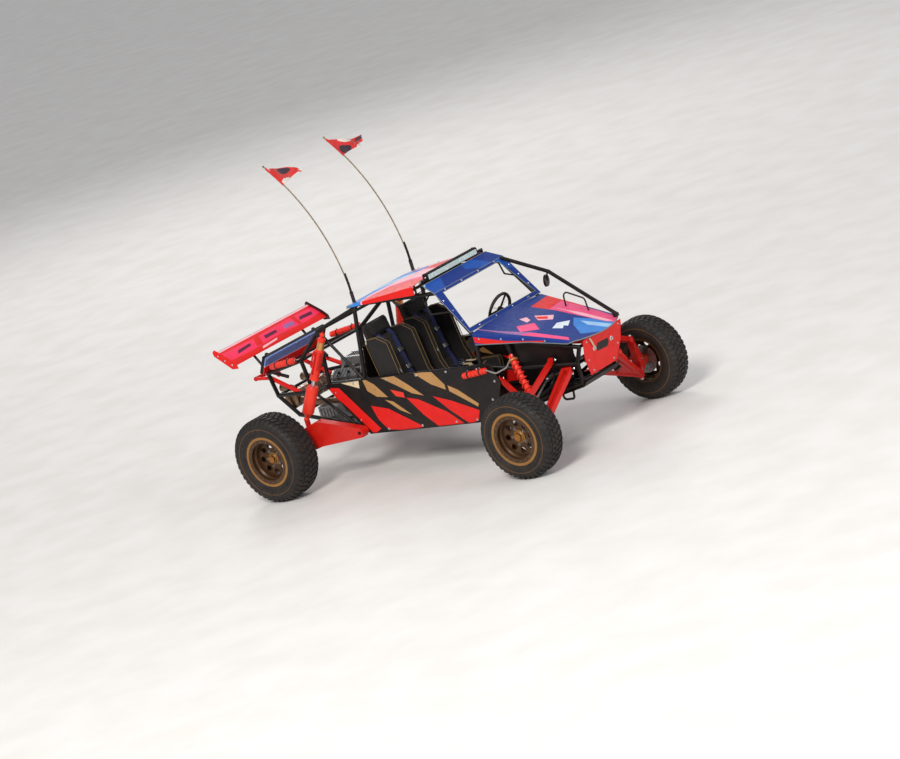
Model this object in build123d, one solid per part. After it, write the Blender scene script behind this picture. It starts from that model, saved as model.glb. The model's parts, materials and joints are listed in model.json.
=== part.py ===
from build123d import *
import math
import os

os.makedirs("parts", exist_ok=True)

# Dune buggy, millimetres. +X is ahead, +Y is the driver's side (left), +Z is up.
# The origin is on the ground, under the middle of the car's length.

# Whole car
HALF_LENGTH = 1983.0  # hood lip ahead, wing plates behind
WHEELBASE = 2880.0
X_FRONT = 1558.0
X_REAR = X_FRONT - WHEELBASE
TRACK = 1920.0
HALF_TRACK = TRACK / 2

# Fits
TOUCH = 0.3  # gap between pieces that rest on each other
RUN = 0.5  # radial gap of a turning pin
FACE = 1.0  # gap between faces that turn past each other

# Tyres and rims
TYRE_R_FRONT = 370.0
TYRE_R_REAR = 397.0
TYRE_W_FRONT = 240.0
TYRE_W_REAR = 290.0
BEAD_R = 192.0
RIM_WALL = 7.0
LIP_H = 15.0
LIP_T = 9.0
HUB_R = 58.0
SPINDLE_R = 20.0
DISC_R = 128.0

TOW_EYE_R = 13.0

# Frame tubes
TUBE_R = 19.0
THIN_R = 14.0
WELD = 1.5  # how far a weld knuckle stands out of a tube
HALF_BODY = 500.0  # tube centre line at the floor and the sills
Z_FLOOR = 406.0
Z_SILL = 880.0
SHEET = 4.0

# Open windshield: its sheet ring lies on the line from SCREEN_TOP to SCREEN_LOW (x, z)
SCREEN_TOP = (672.0, 1574.0)
SCREEN_LOW = (931.0, 1226.0)
SCREEN_STRIP = 26.0  # sheet above the opening
SCREEN_HALF_TOP = 407.0
SCREEN_HALF_LOW = 487.0
SCREEN_RISE = math.hypot(SCREEN_TOP[0] - SCREEN_LOW[0], SCREEN_TOP[1] - SCREEN_LOW[1])


def behind_screen(z, depth):
    """X of the line that runs at this depth behind the screen's plane, at height z."""
    slope = (SCREEN_LOW[0] - SCREEN_TOP[0]) / (SCREEN_TOP[1] - SCREEN_LOW[1])
    return SCREEN_TOP[0] + (SCREEN_TOP[1] - z) * slope - depth * SCREEN_RISE / (SCREEN_TOP[1] - SCREEN_LOW[1])


# Named points of the frame's right or left half, as (x, half width, z)
FLOOR_REAR = (-521.0, HALF_BODY, Z_FLOOR)
FLOOR_MID = (120.0, HALF_BODY, Z_FLOOR)
FLOOR_FRONT = (760.0, HALF_BODY, Z_FLOOR)
SILL_REAR = (-860.0, HALF_BODY, Z_SILL)
SILL_HOOP = (-431.4, HALF_BODY, Z_SILL)
SILL_FRONT = (940.0, HALF_BODY, Z_SILL)
NOSE_LOW_MID = (1230.0, 330.0, 450.0)
NOSE_LOW_END = (1760.0, 235.0, 545.0)
NOSE_MID = (1230.0, 400.0, 800.0)
NOSE_END = (1790.0, 262.0, 735.0)
HOOD_RAIL_REAR = (behind_screen(1152.0, TUBE_R + TOUCH), 492.0, 1152.0)
HOOD_RAIL_MID = (1230.0, 426.0, 1068.0)
HOOD_RAIL_END = (1880.0, 288.0, 885.0)
HOOP_TOP = (-302.0, 480.0, 1560.0)
ROOF_REAR = (-302.0, 440.0, 1560.0)
ROOF_FRONT = (behind_screen(1562.0, TUBE_R + TOUCH), 462.0, 1562.0)
ROOF_BOW_X = 174.0
ROOF_STAY = (424.0, 448.0, 1661.0)
STAY_R = 10.0
CAGE_TOP = (-305.0, 470.0, 1540.0)
CAGE_SHOCK = (-800.0, 500.0, 1380.0)
CAGE_DOWN = (-1180.0, 430.0, 1110.0)
CAGE_END = (-1690.0, 370.0, 1010.0)
TAIL_LOW_MID = (-860.0, 330.0, 430.0)
TAIL_LOW_END = (-1560.0, 270.0, 560.0)
TAIL_MID = (-1180.0, 400.0, 800.0)
TAIL_END = (-1690.0, 330.0, 780.0)
HOOP_BEND = 60.0

# Front suspension
KINGPIN_Y = 790.0
KINGPIN_R = 12.0
Z_BALL_UP = 594.0
Z_BALL_LOW = 262.0
EYE_R = 30.0
EYE_H = 34.0
ARM_W = 34.0
ARM_H = 42.0
UP_FRONT = (1572.0, 318.0, 808.0)
UP_REAR = (1078.0, 468.0, 742.0)
LOW_FRONT = (1676.0, 272.0, 700.0)
LOW_REAR = (1250.0, 378.0, 478.0)
STEER_LEN = -110.0  # the steering arm points back
RACK_Z = 640.0

# Rear suspension
ARM_PIVOT = (-580.0, 550.0, 430.0)
ARM_T = 76.0
CARRIER_Y = 752.0

# Body panels
VISOR_TOP = (530.0, 1645.0)
VISOR_HALF = 460.0
SCREEN_OUT = 505.0
ROOF_HALF = 505.0
ROOF_ENDS = (-372.0, 450.0)
ROOF_DROP = 9.3  # the sheet's rear end below the hoop's top, so that it rests on the hoop
BODY_HALF = HALF_BODY + TUBE_R + WELD + TOUCH  # inside of the side sheets
HOOD_LIP_Z = 924.0
HOOD_HALF = 325.0


def side(point, s):
    """The named point on the left (s = 1) or the right (s = -1)."""
    return Vector(point[0], s * point[1], point[2])


def rod(p, q, r):
    p, q = Vector(p), Vector(q)
    return Solid.make_cylinder(r, (q - p).length, Plane(origin=p, z_dir=q - p))


def ball(p, r):
    return Pos(*Vector(p)) * Sphere(r)


def run(points, r, knuckles=True):
    """Straight tubes through the points, with a weld knuckle at each."""
    out = [rod(a, b, r) for a, b in zip(points, points[1:])]
    if knuckles:
        out += [ball(p, r + WELD) for p in points]
    return out


def bent(points, bend, r):
    path = FilletPolyline(*points, radius=bend)
    ring = Plane(origin=path @ 0, z_dir=path % 0) * Circle(r)
    return sweep(ring, path=path)


def beam(p, q, w, h, up=(0, 0, 1)):
    """A boxed bar from p to q, w wide and h deep along the upward side."""
    p, q = Vector(p), Vector(q)
    across = Vector(up).cross(q - p)
    plane = Plane(origin=p, z_dir=q - p, x_dir=across)
    return extrude(plane * Rectangle(w, h), (q - p).length)


def block(lo, hi):
    size = [b - a for a, b in zip(lo, hi)]
    mid = [(a + b) / 2 for a, b in zip(lo, hi)]
    return Pos(*mid) * Box(*size)


def upright(p, r, low, high):
    p = Vector(p)
    return Pos(p.X, p.Y, (low + high) / 2) * Cylinder(r, high - low)


def along_y(x, z, r, y0, y1):
    return Pos(x, (y0 + y1) / 2, z) * Rot(90, 0, 0) * Cylinder(r, abs(y1 - y0))


def along_x(y, z, r, x0, x1):
    return Pos((x0 + x1) / 2, y, z) * Rot(0, 90, 0) * Cylinder(r, abs(x1 - x0))


def slab(points, y0, y1):
    """An X-Z outline made solid between two Y values."""
    face = make_face(Polyline(*[(x, 0, z) for x, z in points], close=True))
    solid = extrude(face, y1 - y0, dir=(0, 1, 0))
    return Pos(0, y0, 0) * solid


def slab_front(points, x0, x1):
    """A Y-Z outline made solid between two X values."""
    face = make_face(Polyline(*[(0, y, z) for y, z in points], close=True))
    return Pos(x0, 0, 0) * extrude(face, x1 - x0, dir=(1, 0, 0))


def fuse(items):
    return Part() + list(items)


def cut(shape, *tools):
    left = Part() + list(shape.solids())
    return left - [solid for tool in tools for solid in tool.solids()]


def group(shapes):
    return Compound([solid for shape in shapes for solid in shape.solids()])


def biggest(shape):
    return max(shape.solids(), key=lambda solid: solid.volume)


nodes = {}
LEFT_RIGHT = ((1, "left"), (-1, "right"))

# Frame, floor and front legs
floor = []
for s, _ in LEFT_RIGHT:
    floor += run([side(p, s) for p in (FLOOR_REAR, FLOOR_MID, FLOOR_FRONT)], TUBE_R)
for p in (FLOOR_REAR, FLOOR_MID, FLOOR_FRONT):
    floor.append(rod(side(p, 1), side(p, -1), TUBE_R))
floor.append(rod((FLOOR_REAR[0], 0, Z_FLOOR), (FLOOR_FRONT[0], 0, Z_FLOOR), THIN_R))
nodes["frame_floor"] = fuse(floor)

# Main hoop behind the seats
hoop_path = [side(FLOOR_REAR, 1), side(HOOP_TOP, 1), side(HOOP_TOP, -1), side(FLOOR_REAR, -1)]
hoop = [bent(hoop_path, HOOP_BEND, TUBE_R)]
hoop.append(rod(side(SILL_HOOP, 1), side(SILL_HOOP, -1), TUBE_R))
nodes["frame_main_hoop"] = cut(fuse(hoop), nodes["frame_floor"])

# Windshield hoop, roof rails and roof bow
screen_path = [side(HOOD_RAIL_REAR, 1), side(ROOF_FRONT, 1), side(ROOF_FRONT, -1), side(HOOD_RAIL_REAR, -1)]
roof = [bent(screen_path, HOOP_BEND, TUBE_R)]
for s, _ in LEFT_RIGHT:
    front = Vector(ROOF_FRONT[0] - 10, s * ROOF_REAR[1], ROOF_FRONT[2])
    roof.append(rod(side(ROOF_REAR, s), front, TUBE_R))
for s, _ in LEFT_RIGHT:
    stay_top = side(ROOF_STAY, s)
    roof.append(rod((stay_top.X, stay_top.Y, ROOF_REAR[2]), stay_top, STAY_R))
roof.append(rod((ROOF_BOW_X, -ROOF_REAR[1], ROOF_REAR[2]), (ROOF_BOW_X, ROOF_REAR[1], ROOF_REAR[2]), THIN_R))
roof.append(rod(side(HOOD_RAIL_REAR, 1), side(HOOD_RAIL_REAR, -1), TUBE_R))
roof += [ball(side(HOOD_RAIL_REAR, s), TUBE_R + WELD) for s in (1, -1)]
nodes["frame_roof"] = cut(fuse(roof), nodes["frame_main_hoop"])

# Sills, the slant behind them and the front legs
sides = []
for s, _ in LEFT_RIGHT:
    sides += run([side(p, s) for p in (FLOOR_REAR, SILL_REAR, SILL_FRONT, FLOOR_FRONT)], TUBE_R)
    sides.append(rod(side(SILL_FRONT, s), side(HOOD_RAIL_REAR, s), TUBE_R))
    sides.append(rod(side(FLOOR_MID, s), (SILL_HOOP[0] + 40, s * HALF_BODY, Z_SILL), THIN_R))
    sides.append(rod(side(FLOOR_MID, s), (700, s * HALF_BODY, Z_SILL), THIN_R))
nodes["frame_sides"] = cut(fuse(sides), nodes["frame_floor"], nodes["frame_main_hoop"], nodes["frame_roof"])

# Nose frame with the tabs that carry the front arms
nose = []
for s, _ in LEFT_RIGHT:
    nose += run([side(p, s) for p in (FLOOR_FRONT, NOSE_LOW_MID, NOSE_LOW_END)], TUBE_R)
    nose += run([side(p, s) for p in (SILL_FRONT, NOSE_MID, NOSE_END)], TUBE_R)
    nose += run([side(p, s) for p in (HOOD_RAIL_REAR, HOOD_RAIL_MID, HOOD_RAIL_END)], TUBE_R)
    nose.append(rod(side(NOSE_LOW_MID, s), side(HOOD_RAIL_MID, s), TUBE_R))
    nose += run([side(p, s) for p in (NOSE_LOW_END, NOSE_END, HOOD_RAIL_END)], TUBE_R)
    nose.append(rod(side(NOSE_LOW_MID, s), side(NOSE_END, s), THIN_R))
for p in (NOSE_LOW_MID, NOSE_LOW_END, HOOD_RAIL_MID, HOOD_RAIL_END, NOSE_END):
    nose.append(rod(side(p, 1), side(p, -1), THIN_R))
nose_tool = [nodes["frame_floor"], nodes["frame_roof"], nodes["frame_sides"]]
nose = cut(fuse(nose), *nose_tool)

# Rear cage over the engine
rear = []
for s, _ in LEFT_RIGHT:
    rear += run([side(p, s) for p in (CAGE_TOP, CAGE_SHOCK, CAGE_DOWN, CAGE_END)], TUBE_R)
    rear += run([side(p, s) for p in (FLOOR_REAR, TAIL_LOW_MID, TAIL_LOW_END)], TUBE_R)
    rear += run([side(p, s) for p in (SILL_REAR, TAIL_MID, TAIL_END)], TUBE_R)
    rear.append(rod(side(SILL_REAR, s), side(CAGE_SHOCK, s), TUBE_R))
    rear.append(rod(side(TAIL_MID, s), side(CAGE_DOWN, s), TUBE_R))
    rear.append(rod(side(TAIL_LOW_MID, s), side(TAIL_MID, s), THIN_R))
    rear.append(rod(side(SILL_HOOP, s), side(CAGE_SHOCK, s), THIN_R))
    rear += run([side(p, s) for p in (TAIL_LOW_END, TAIL_END, CAGE_END)], TUBE_R)
for p in (CAGE_SHOCK, CAGE_DOWN, CAGE_END, TAIL_END, TAIL_LOW_END):
    rear.append(rod(side(p, 1), side(p, -1), THIN_R))
rear = cut(fuse(rear), nodes["frame_floor"], nodes["frame_main_hoop"], nodes["frame_sides"])

# Front arms. Each pair of legs ends in an eye on the kingpin line.
POST_ROOM = 38.0
CAP_ROOM = 27.0
BUSH_R = 22.0
BUSH_L = 58.0
TAB = 6.0
TWIN = 38.0
TWIN_CLOSE = 0.5
TWIN_BUSH_L = 116.0


def leg_pair(feet, z_eye, gusset, s):
    """An arm of legs from (pivot, bush length, half the gap between twin bars) rows to one eye."""
    eye = Vector(X_FRONT, s * KINGPIN_Y, z_eye)
    items = [upright(eye, EYE_R, z_eye - EYE_H / 2, z_eye + EYE_H / 2)]
    for pivot, length, twin in feet:
        foot = side(pivot, s)
        for off in (-twin, twin) if twin else (0,):
            items.append(beam(foot + Vector(off, 0, 0), eye + Vector(off * TWIN_CLOSE, 0, 0), ARM_W, ARM_H))
        items.append(along_x(foot.Y, foot.Z, BUSH_R, foot.X - length / 2, foot.X + length / 2))
    corners = [side(pivot, s) for pivot, _, _ in feet]
    plate = make_face(Polyline(*[eye + (foot - eye) * gusset for foot in corners], eye, close=True))
    items.append(extrude(plate, ARM_H * 0.3, both=True))
    arm = fuse(items)
    top, low = z_eye + EYE_H / 2, z_eye - EYE_H / 2
    post_up = z_eye < (Z_BALL_UP + Z_BALL_LOW) / 2
    rooms = [upright(eye, KINGPIN_R + RUN, z_eye - EYE_H, z_eye + EYE_H),
             upright(eye, POST_ROOM if post_up else CAP_ROOM, top, top + 90),
             upright(eye, CAP_ROOM if post_up else POST_ROOM, low - 90, low)]
    return cut(arm, *rooms)


def tabs(pivot, s, length, inward, drop, rise):
    """Two plates that hold a bush, reaching from the bush into the frame's tubes."""
    out = []
    x, y, z = pivot[0], s * pivot[1], pivot[2]
    for end in (-1, 1):
        x0 = x + end * (length / 2 + TOUCH)
        x1 = x0 + end * TAB
        lo = (min(x0, x1), min(y + s * BUSH_R, y - s * inward), z - BUSH_R - drop)
        hi = (max(x0, x1), max(y + s * BUSH_R, y - s * inward), z + BUSH_R + rise)
        out.append(block(lo, hi))
    return out


# Upper and lower legs: pivot, bush length, half the gap between twin bars
UPPER_FEET = ((UP_FRONT, BUSH_L, 0), (UP_REAR, BUSH_L, 0))
LOWER_FEET = ((LOW_FRONT, TWIN_BUSH_L, TWIN), (LOW_REAR, BUSH_L, 0))
# How far the tabs of each pivot reach inward, down and up
TABS = ((UP_FRONT, BUSH_L, 20, 28, 0), (UP_REAR, BUSH_L, 34, 0, 70), (LOW_FRONT, TWIN_BUSH_L, 10, 0, 24),
        (LOW_REAR, BUSH_L, 52, 0, 0))
upper, lower = [], []
for s, _ in LEFT_RIGHT:
    upper.append(leg_pair(UPPER_FEET, Z_BALL_UP, 0.30, s))
    lower.append(leg_pair(LOWER_FEET, Z_BALL_LOW, 0.42, s))
    for row in TABS:
        nose = fuse([nose, *tabs(row[0], s, *row[1:])])
arm_room = [along_x(s * p[1], p[2], BUSH_R + TOUCH, p[0] - length / 2 - TOUCH, p[0] + length / 2 + TOUCH)
            for s in (1, -1) for p, length, _ in (*UPPER_FEET, *LOWER_FEET)]
nodes["frame_nose"] = cut(nose, *arm_room, *upper, *lower, *nose_tool)
nodes["front_upper_arms"] = group(upper)
nodes["front_lower_arms"] = group(lower)

# Knuckles with the stub axles
POST = (46.0, 40.0)
SPINDLE_END = HALF_TRACK + 42.0
HUB_IN = HALF_TRACK - 62.0
HUB_OUT = HALF_TRACK + 58.0
STEER_Z = (392.0, 410.0)
CHEEK = ((772, 300), (832, 300), (852, 330), (852, 420), (826, 470), (806, 556), (772, 556))
CHEEK_X = 20.0
CHEEK_T = 12.0
DISC_T = 10.0
DISC_GAP = 5.0  # free space around a brake disc
PAD_T = 14.0  # how far a caliper's cheeks stand beside the disc
CALIPER_HALF_H = 42.0
CALIPER_PAST = 22.0  # past the disc's rim
CALIPER_OVER = 36.0  # over the disc's rim
CALIPER_ARM = 20.0  # half height of its arm
CAP_R = KINGPIN_R + 8
CAP_H = 14.0
BOSS_R = 44.0
STEER_ARM_W = 30.0
STEER_EYE_R = 21.0


def caliper(x, z, s, disc_in, foot_in):
    """A brake caliper behind the axle, with a slot for the disc, on an arm that reaches inboard."""
    low, high = x - DISC_R - CALIPER_PAST, x - DISC_R + CALIPER_OVER
    y_low, y_high = sorted((s * (disc_in - PAD_T), s * (disc_in + DISC_T + PAD_T)))
    body = block((low, y_low, z - CALIPER_HALF_H), (high, y_high, z + CALIPER_HALF_H))
    room = along_y(x, z, DISC_R + DISC_GAP, s * (disc_in - DISC_GAP), s * (disc_in + DISC_T + DISC_GAP))
    y_low, y_high = sorted((s * foot_in, s * (disc_in - 10)))
    arm = block((high - 30, y_low, z - CALIPER_ARM), (x - 40, y_high, z + CALIPER_ARM))
    hub_room = along_y(x, z, HUB_R + DISC_GAP, s * (disc_in - 8), s * (disc_in + 60))
    return fuse([body - room, cut(arm, hub_room)])


for s, name in LEFT_RIGHT:
    low, high = Z_BALL_LOW + EYE_H / 2 + FACE, Z_BALL_UP - EYE_H / 2 - FACE
    post = block((X_FRONT - POST[0] / 2, s * KINGPIN_Y - POST[1] / 2, low),
                 (X_FRONT + POST[0] / 2, s * KINGPIN_Y + POST[1] / 2, high))
    pin_at = Vector(X_FRONT, s * KINGPIN_Y, 0)
    eyes_low, eyes_high = Z_BALL_LOW - EYE_H / 2, Z_BALL_UP + EYE_H / 2
    pin = upright(pin_at, KINGPIN_R, eyes_low - CAP_H, eyes_high + CAP_H)
    caps = [upright(pin_at, CAP_R, eyes_high + FACE, eyes_high + CAP_H),
            upright(pin_at, CAP_R, eyes_low - CAP_H, eyes_low - FACE)]
    spindle = along_y(X_FRONT, TYRE_R_FRONT, SPINDLE_R, s * KINGPIN_Y, s * SPINDLE_END)
    boss = along_y(X_FRONT, TYRE_R_FRONT, BOSS_R, s * (KINGPIN_Y - 18), s * (HUB_IN - 6))
    arm_z = sum(STEER_Z) / 2
    arm = beam((X_FRONT, s * KINGPIN_Y, arm_z), (X_FRONT + STEER_LEN, s * KINGPIN_Y, arm_z),
               STEER_ARM_W, STEER_Z[1] - STEER_Z[0])
    eye = upright((X_FRONT + STEER_LEN, s * KINGPIN_Y, 0), STEER_EYE_R, *STEER_Z)
    outline = make_face(Polyline(*[(0, s * y, z) for y, z in CHEEK], close=True))
    cheek = extrude(outline, CHEEK_T, dir=(1, 0, 0))
    cheeks = [Pos(X_FRONT + x, 0, 0) * cheek for x in (-CHEEK_X - CHEEK_T, CHEEK_X)]
    nodes[f"knuckle_{name}"] = fuse([post, pin, *caps, spindle, boss, arm, eye, *cheeks,
                                     caliper(X_FRONT, TYRE_R_FRONT, s, HUB_IN, HUB_IN - 120)])

# Rack bar with both tie rods, and its housing
RACK_X = X_FRONT + STEER_LEN
RACK_R = 12.0
RACK_HALF = 300.0
ROD_R = 11.0
ROD_END_R = 20.0
ROD_END_H = 18.0
rack = [along_y(RACK_X, RACK_Z, RACK_R, -RACK_HALF, RACK_HALF)]
for s, _ in LEFT_RIGHT:
    end = Vector(RACK_X, s * KINGPIN_Y, STEER_Z[1] + FACE + 8)
    inner = Vector(RACK_X, s * RACK_HALF, RACK_Z)
    rack += [rod(inner, end, ROD_R), ball(inner, RACK_R + 8)]
    rack.append(upright(end, ROD_END_R, STEER_Z[1] + FACE, STEER_Z[1] + FACE + ROD_END_H))
rack = fuse(rack)
for s, _ in LEFT_RIGHT:
    rack = rack - upright((RACK_X, s * KINGPIN_Y, 0), 40, STEER_Z[1] - 40, STEER_Z[1] + FACE)
nodes["steering_rack"] = rack
HOUSE_HALF = 215.0
HOUSE_R = 24.0
RACK_ROOM_R = RACK_R + RUN
house = along_y(RACK_X, RACK_Z, HOUSE_R, -HOUSE_HALF, HOUSE_HALF) - along_y(RACK_X, RACK_Z, RACK_ROOM_R, -400, 400)

# Steering column, wheel and dash
WHEEL_AT = Vector(650.0, 280.0, 1150.0)
WHEEL_DIR = Vector(-math.cos(math.radians(25)), 0, math.sin(math.radians(25)))
WHEEL_R = 150.0
GRIP_R = 13.0
COLUMN_R = 15.0
STUB_STEER_R = 10.0
plane = Plane(origin=WHEEL_AT, z_dir=WHEEL_DIR)
spokes = [beam(WHEEL_AT, WHEEL_AT + plane.x_dir * math.cos(a) * WHEEL_R + plane.y_dir * math.sin(a) * WHEEL_R,
               26, 6, up=WHEEL_DIR) for a in (math.radians(k) for k in (90, 210, 330))]
ring = plane * Torus(WHEEL_R, GRIP_R)
hub = Solid.make_cylinder(32, 44, Plane(origin=WHEEL_AT - WHEEL_DIR * 34, z_dir=WHEEL_DIR))
hub_bore = rod(WHEEL_AT - WHEEL_DIR * 40, WHEEL_AT - WHEEL_DIR * 10, STUB_STEER_R + RUN)
nodes["steering_wheel"] = fuse([ring, hub, *spokes]) - hub_bore
column_top = WHEEL_AT - WHEEL_DIR * (34 + 5)
column_low = WHEEL_AT - WHEEL_DIR * 330
joint_at = Vector(RACK_X - 44, 120, RACK_Z + 60)
stays = [rod((RACK_X, s * (HOUSE_HALF - 25), RACK_Z), (RACK_X, s * 303, 561), 9) for s in (1, -1)]
column_stay = rod(column_low, (column_low.X + 5, WHEEL_AT.Y, HOOD_RAIL_REAR[2]), 10)
wheel_stub = rod(column_low, WHEEL_AT - WHEEL_DIR * 12, STUB_STEER_R)
column = fuse([*stays, rod(column_low, column_top, COLUMN_R), wheel_stub, ball(column_low, COLUMN_R + 6),
               rod(column_low, joint_at, 10), ball(joint_at, 14),
               rod(joint_at, (RACK_X, joint_at.Y, RACK_Z), 12), house, column_stay])
column = column - along_y(RACK_X, RACK_Z, RACK_ROOM_R, -400, 400)
nodes["steering_column"] = cut(column, nodes["frame_roof"], nodes["frame_nose"])

# Wheels. Each is a tyre on a rim with its hub; the rear ones turn with their half shafts.


def ring_profile(points, x, z):
    """A closed outline of (across, radius) pairs turned about a wheel's axis."""
    face = make_face(Polyline(*[(0, y, r) for y, r in points], close=True))
    return Pos(x, 0, z) * revolve(face, Axis((0, 0, 0), (0, 1, 0)), 360)


def tyre(x, s, radius, width):
    bead = width / 2 - 30
    edge = width / 2
    half = [(bead - TOUCH, BEAD_R + TOUCH), (bead - TOUCH, BEAD_R + LIP_H + 4), (edge - 4, BEAD_R + 62),
            (edge, (BEAD_R + radius) / 2 + 18), (edge - 5, radius - 34), (edge - 24, radius - 9),
            (edge - 56, radius)]
    outline = [(s * HALF_TRACK + y, r) for y, r in half]
    outline += [(s * HALF_TRACK - y, r) for y, r in reversed(half)]
    return ring_profile(outline, x, radius)


def rim(x, s, radius, width, dish):
    bead = width / 2 - 30
    y = s * HALF_TRACK
    r_in = BEAD_R - RIM_WALL
    barrel = [(-bead - LIP_T, r_in), (-bead - LIP_T, BEAD_R + LIP_H), (-bead, BEAD_R + LIP_H), (-bead, BEAD_R),
              (bead, BEAD_R), (bead, BEAD_R + LIP_H), (bead + LIP_T, BEAD_R + LIP_H), (bead + LIP_T, r_in)]
    items = [ring_profile([(y + a, r) for a, r in barrel], x, radius)]
    items.append(along_y(x, radius, r_in + 2, y + s * dish, y + s * (dish + 12)))
    return items


for s, name in LEFT_RIGHT:
    y = s * HALF_TRACK
    nodes[f"tyre_front_{name}"] = tyre(X_FRONT, s, TYRE_R_FRONT, TYRE_W_FRONT)
    items = rim(X_FRONT, s, TYRE_R_FRONT, TYRE_W_FRONT, 20)
    items.append(along_y(X_FRONT, TYRE_R_FRONT, HUB_R, s * HUB_IN, s * HUB_OUT))
    items.append(along_y(X_FRONT, TYRE_R_FRONT, DISC_R, s * HUB_IN, s * (HUB_IN + DISC_T)))
    bore = along_y(X_FRONT, TYRE_R_FRONT, SPINDLE_R + RUN, s * (HUB_IN - 10), s * (SPINDLE_END + FACE * 2))
    windows = [Pos(X_FRONT, y, TYRE_R_FRONT) * Rot(0, k * 45, 0) * Pos(122, s * 26, 0) * Rot(90, 0, 0)
               * Cylinder(27, 60) for k in range(8)]
    nodes[f"rim_front_{name}"] = cut(fuse(items), bore, *windows)

# Rear wheels, half shafts and the arms that trail behind the cabin
SHAFT_R = 17.0
FLANGE_R = 48.0
BEARING_R = 62.0
GEAR_SIDE = 165.0
STUB_R = 26.0
for s, name in LEFT_RIGHT:
    y = s * HALF_TRACK
    nodes[f"tyre_rear_{name}"] = tyre(X_REAR, s, TYRE_R_REAR, TYRE_W_REAR)
    items = rim(X_REAR, s, TYRE_R_REAR, TYRE_W_REAR, 30)
    items.append(along_y(X_REAR, TYRE_R_REAR, HUB_R, y - s * 30, y + s * 70))
    windows = [Pos(X_REAR, y, TYRE_R_REAR) * Rot(0, k * 45, 0) * Pos(122, s * 36, 0) * Rot(90, 0, 0)
               * Cylinder(27, 60) for k in range(8)]
    bore = along_y(X_REAR, TYRE_R_REAR, 32 + TOUCH, y - s * 60, y + s * (52 + TOUCH))
    nodes[f"rim_rear_{name}"] = cut(fuse(items), bore, *windows)
    drive = [along_y(X_REAR, TYRE_R_REAR, 32, s * (CARRIER_Y - 70), y + s * 52)]
    drive.append(along_y(X_REAR, TYRE_R_REAR, DISC_R, s * (CARRIER_Y + 62), s * (CARRIER_Y + 72)))
    drive.append(along_y(X_REAR, TYRE_R_REAR, FLANGE_R, s * (CARRIER_Y - 130), s * (CARRIER_Y - 68)))
    drive.append(along_y(X_REAR, TYRE_R_REAR, SHAFT_R, s * 230, s * CARRIER_Y))
    drive.append(along_y(X_REAR, TYRE_R_REAR, FLANGE_R, s * 190, s * 250))
    drive.append(along_y(X_REAR, TYRE_R_REAR, STUB_R, s * (GEAR_SIDE - 30), s * 200))
    nodes[f"half_shaft_{name}"] = fuse(drive)

# Sections of a trailing arm: x, middle y, lower and upper z
ARM_SECTIONS = ((-560, 573, 385, 470), (-960, 676, 372, 610), (X_REAR, CARRIER_Y, 300, 492))
PIVOT_PIN_R = 14.0
trailing = []
for s, _ in LEFT_RIGHT:
    sections = []
    for x, y_mid, low, high in ARM_SECTIONS:
        y0, y1 = y_mid - ARM_T / 2, y_mid + ARM_T / 2
        wire = Polyline((x, s * y0, low), (x, s * y1, low), (x, s * y1, high), (x, s * y0, high), close=True)
        sections.append(make_face(wire))
    arm = loft(sections, ruled=True)
    y0, y1 = CARRIER_Y - ARM_T / 2, CARRIER_Y + ARM_T / 2
    carrier = along_y(X_REAR, TYRE_R_REAR, BEARING_R + 34, s * y0, s * y1)
    bush = along_y(ARM_PIVOT[0], ARM_PIVOT[2], 42, s * 532, s * 612)
    arm = fuse([arm, carrier, bush])
    arm = cut(arm, along_y(X_REAR, TYRE_R_REAR, 32 + FACE, s * 500, s * 900),
              along_y(X_REAR, TYRE_R_REAR, 150, s * (CARRIER_Y + 56), s * 1200))
    arm = fuse([arm, caliper(X_REAR, TYRE_R_REAR, s, CARRIER_Y + 62, CARRIER_Y)])
    trailing.append(arm)
for i, (s, _) in enumerate(LEFT_RIGHT):
    pin = along_y(ARM_PIVOT[0], ARM_PIVOT[2], PIVOT_PIN_R, s * HALF_BODY, s * 622)
    foot = rod(side(FLOOR_REAR, s), (ARM_PIVOT[0], s * 508, ARM_PIVOT[2]), 24)
    hook = fuse([pin, foot])
    trailing[i] = trailing[i] - along_y(ARM_PIVOT[0], ARM_PIVOT[2], PIVOT_PIN_R + TOUCH, s * 400, s * 700)
    hook = cut(hook, nodes["frame_floor"], nodes["frame_main_hoop"], nodes["frame_sides"], trailing[i])
    rear = fuse([rear, hook])

# Coil-over shocks with their reservoirs
SHOCK_TOP_R = (-700.0, 560.0, 1352.0)
SHOCK_LOW_R = (-1060.0, 712.0, 640.0)
SHOCK_TOP_F = (1285.0, 478.0, 930.0)
SHOCK_LOW_F = (1578.0, 662.0, 424.0)
COIL_SHARE = 0.80  # how far down the coil reaches
COLLAR = 7.0  # how far a collar stands out of the coil
SHOCK_EYE_R = 20.0
SHOCK_EYE_HALF = 15.0
SHOCK_PIN_R = 9.0
SHOCK_PIN_HALF = 24.0


def shock(top, low, body_r, coil_r, split):
    top, low = Vector(top), Vector(low)
    way = (low - top).normalized()
    length = (low - top).length
    at = lambda d: top + way * d
    eye = Vector(1, 0, 0).cross(way).normalized().cross(way).normalized()
    coil_end = length * COIL_SHARE
    items = [rod(at(0), at(length), body_r * 0.42), rod(at(length * split), at(length - 36), body_r)]
    items += [rod(at(40), at(coil_end), coil_r), rod(at(30), at(44), coil_r + COLLAR),
              rod(at(coil_end), at(coil_end + 16), coil_r + COLLAR)]
    for end in (top, low):
        items.append(rod(end - eye * SHOCK_EYE_HALF, end + eye * SHOCK_EYE_HALF, SHOCK_EYE_R))
    return fuse(items)


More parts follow.
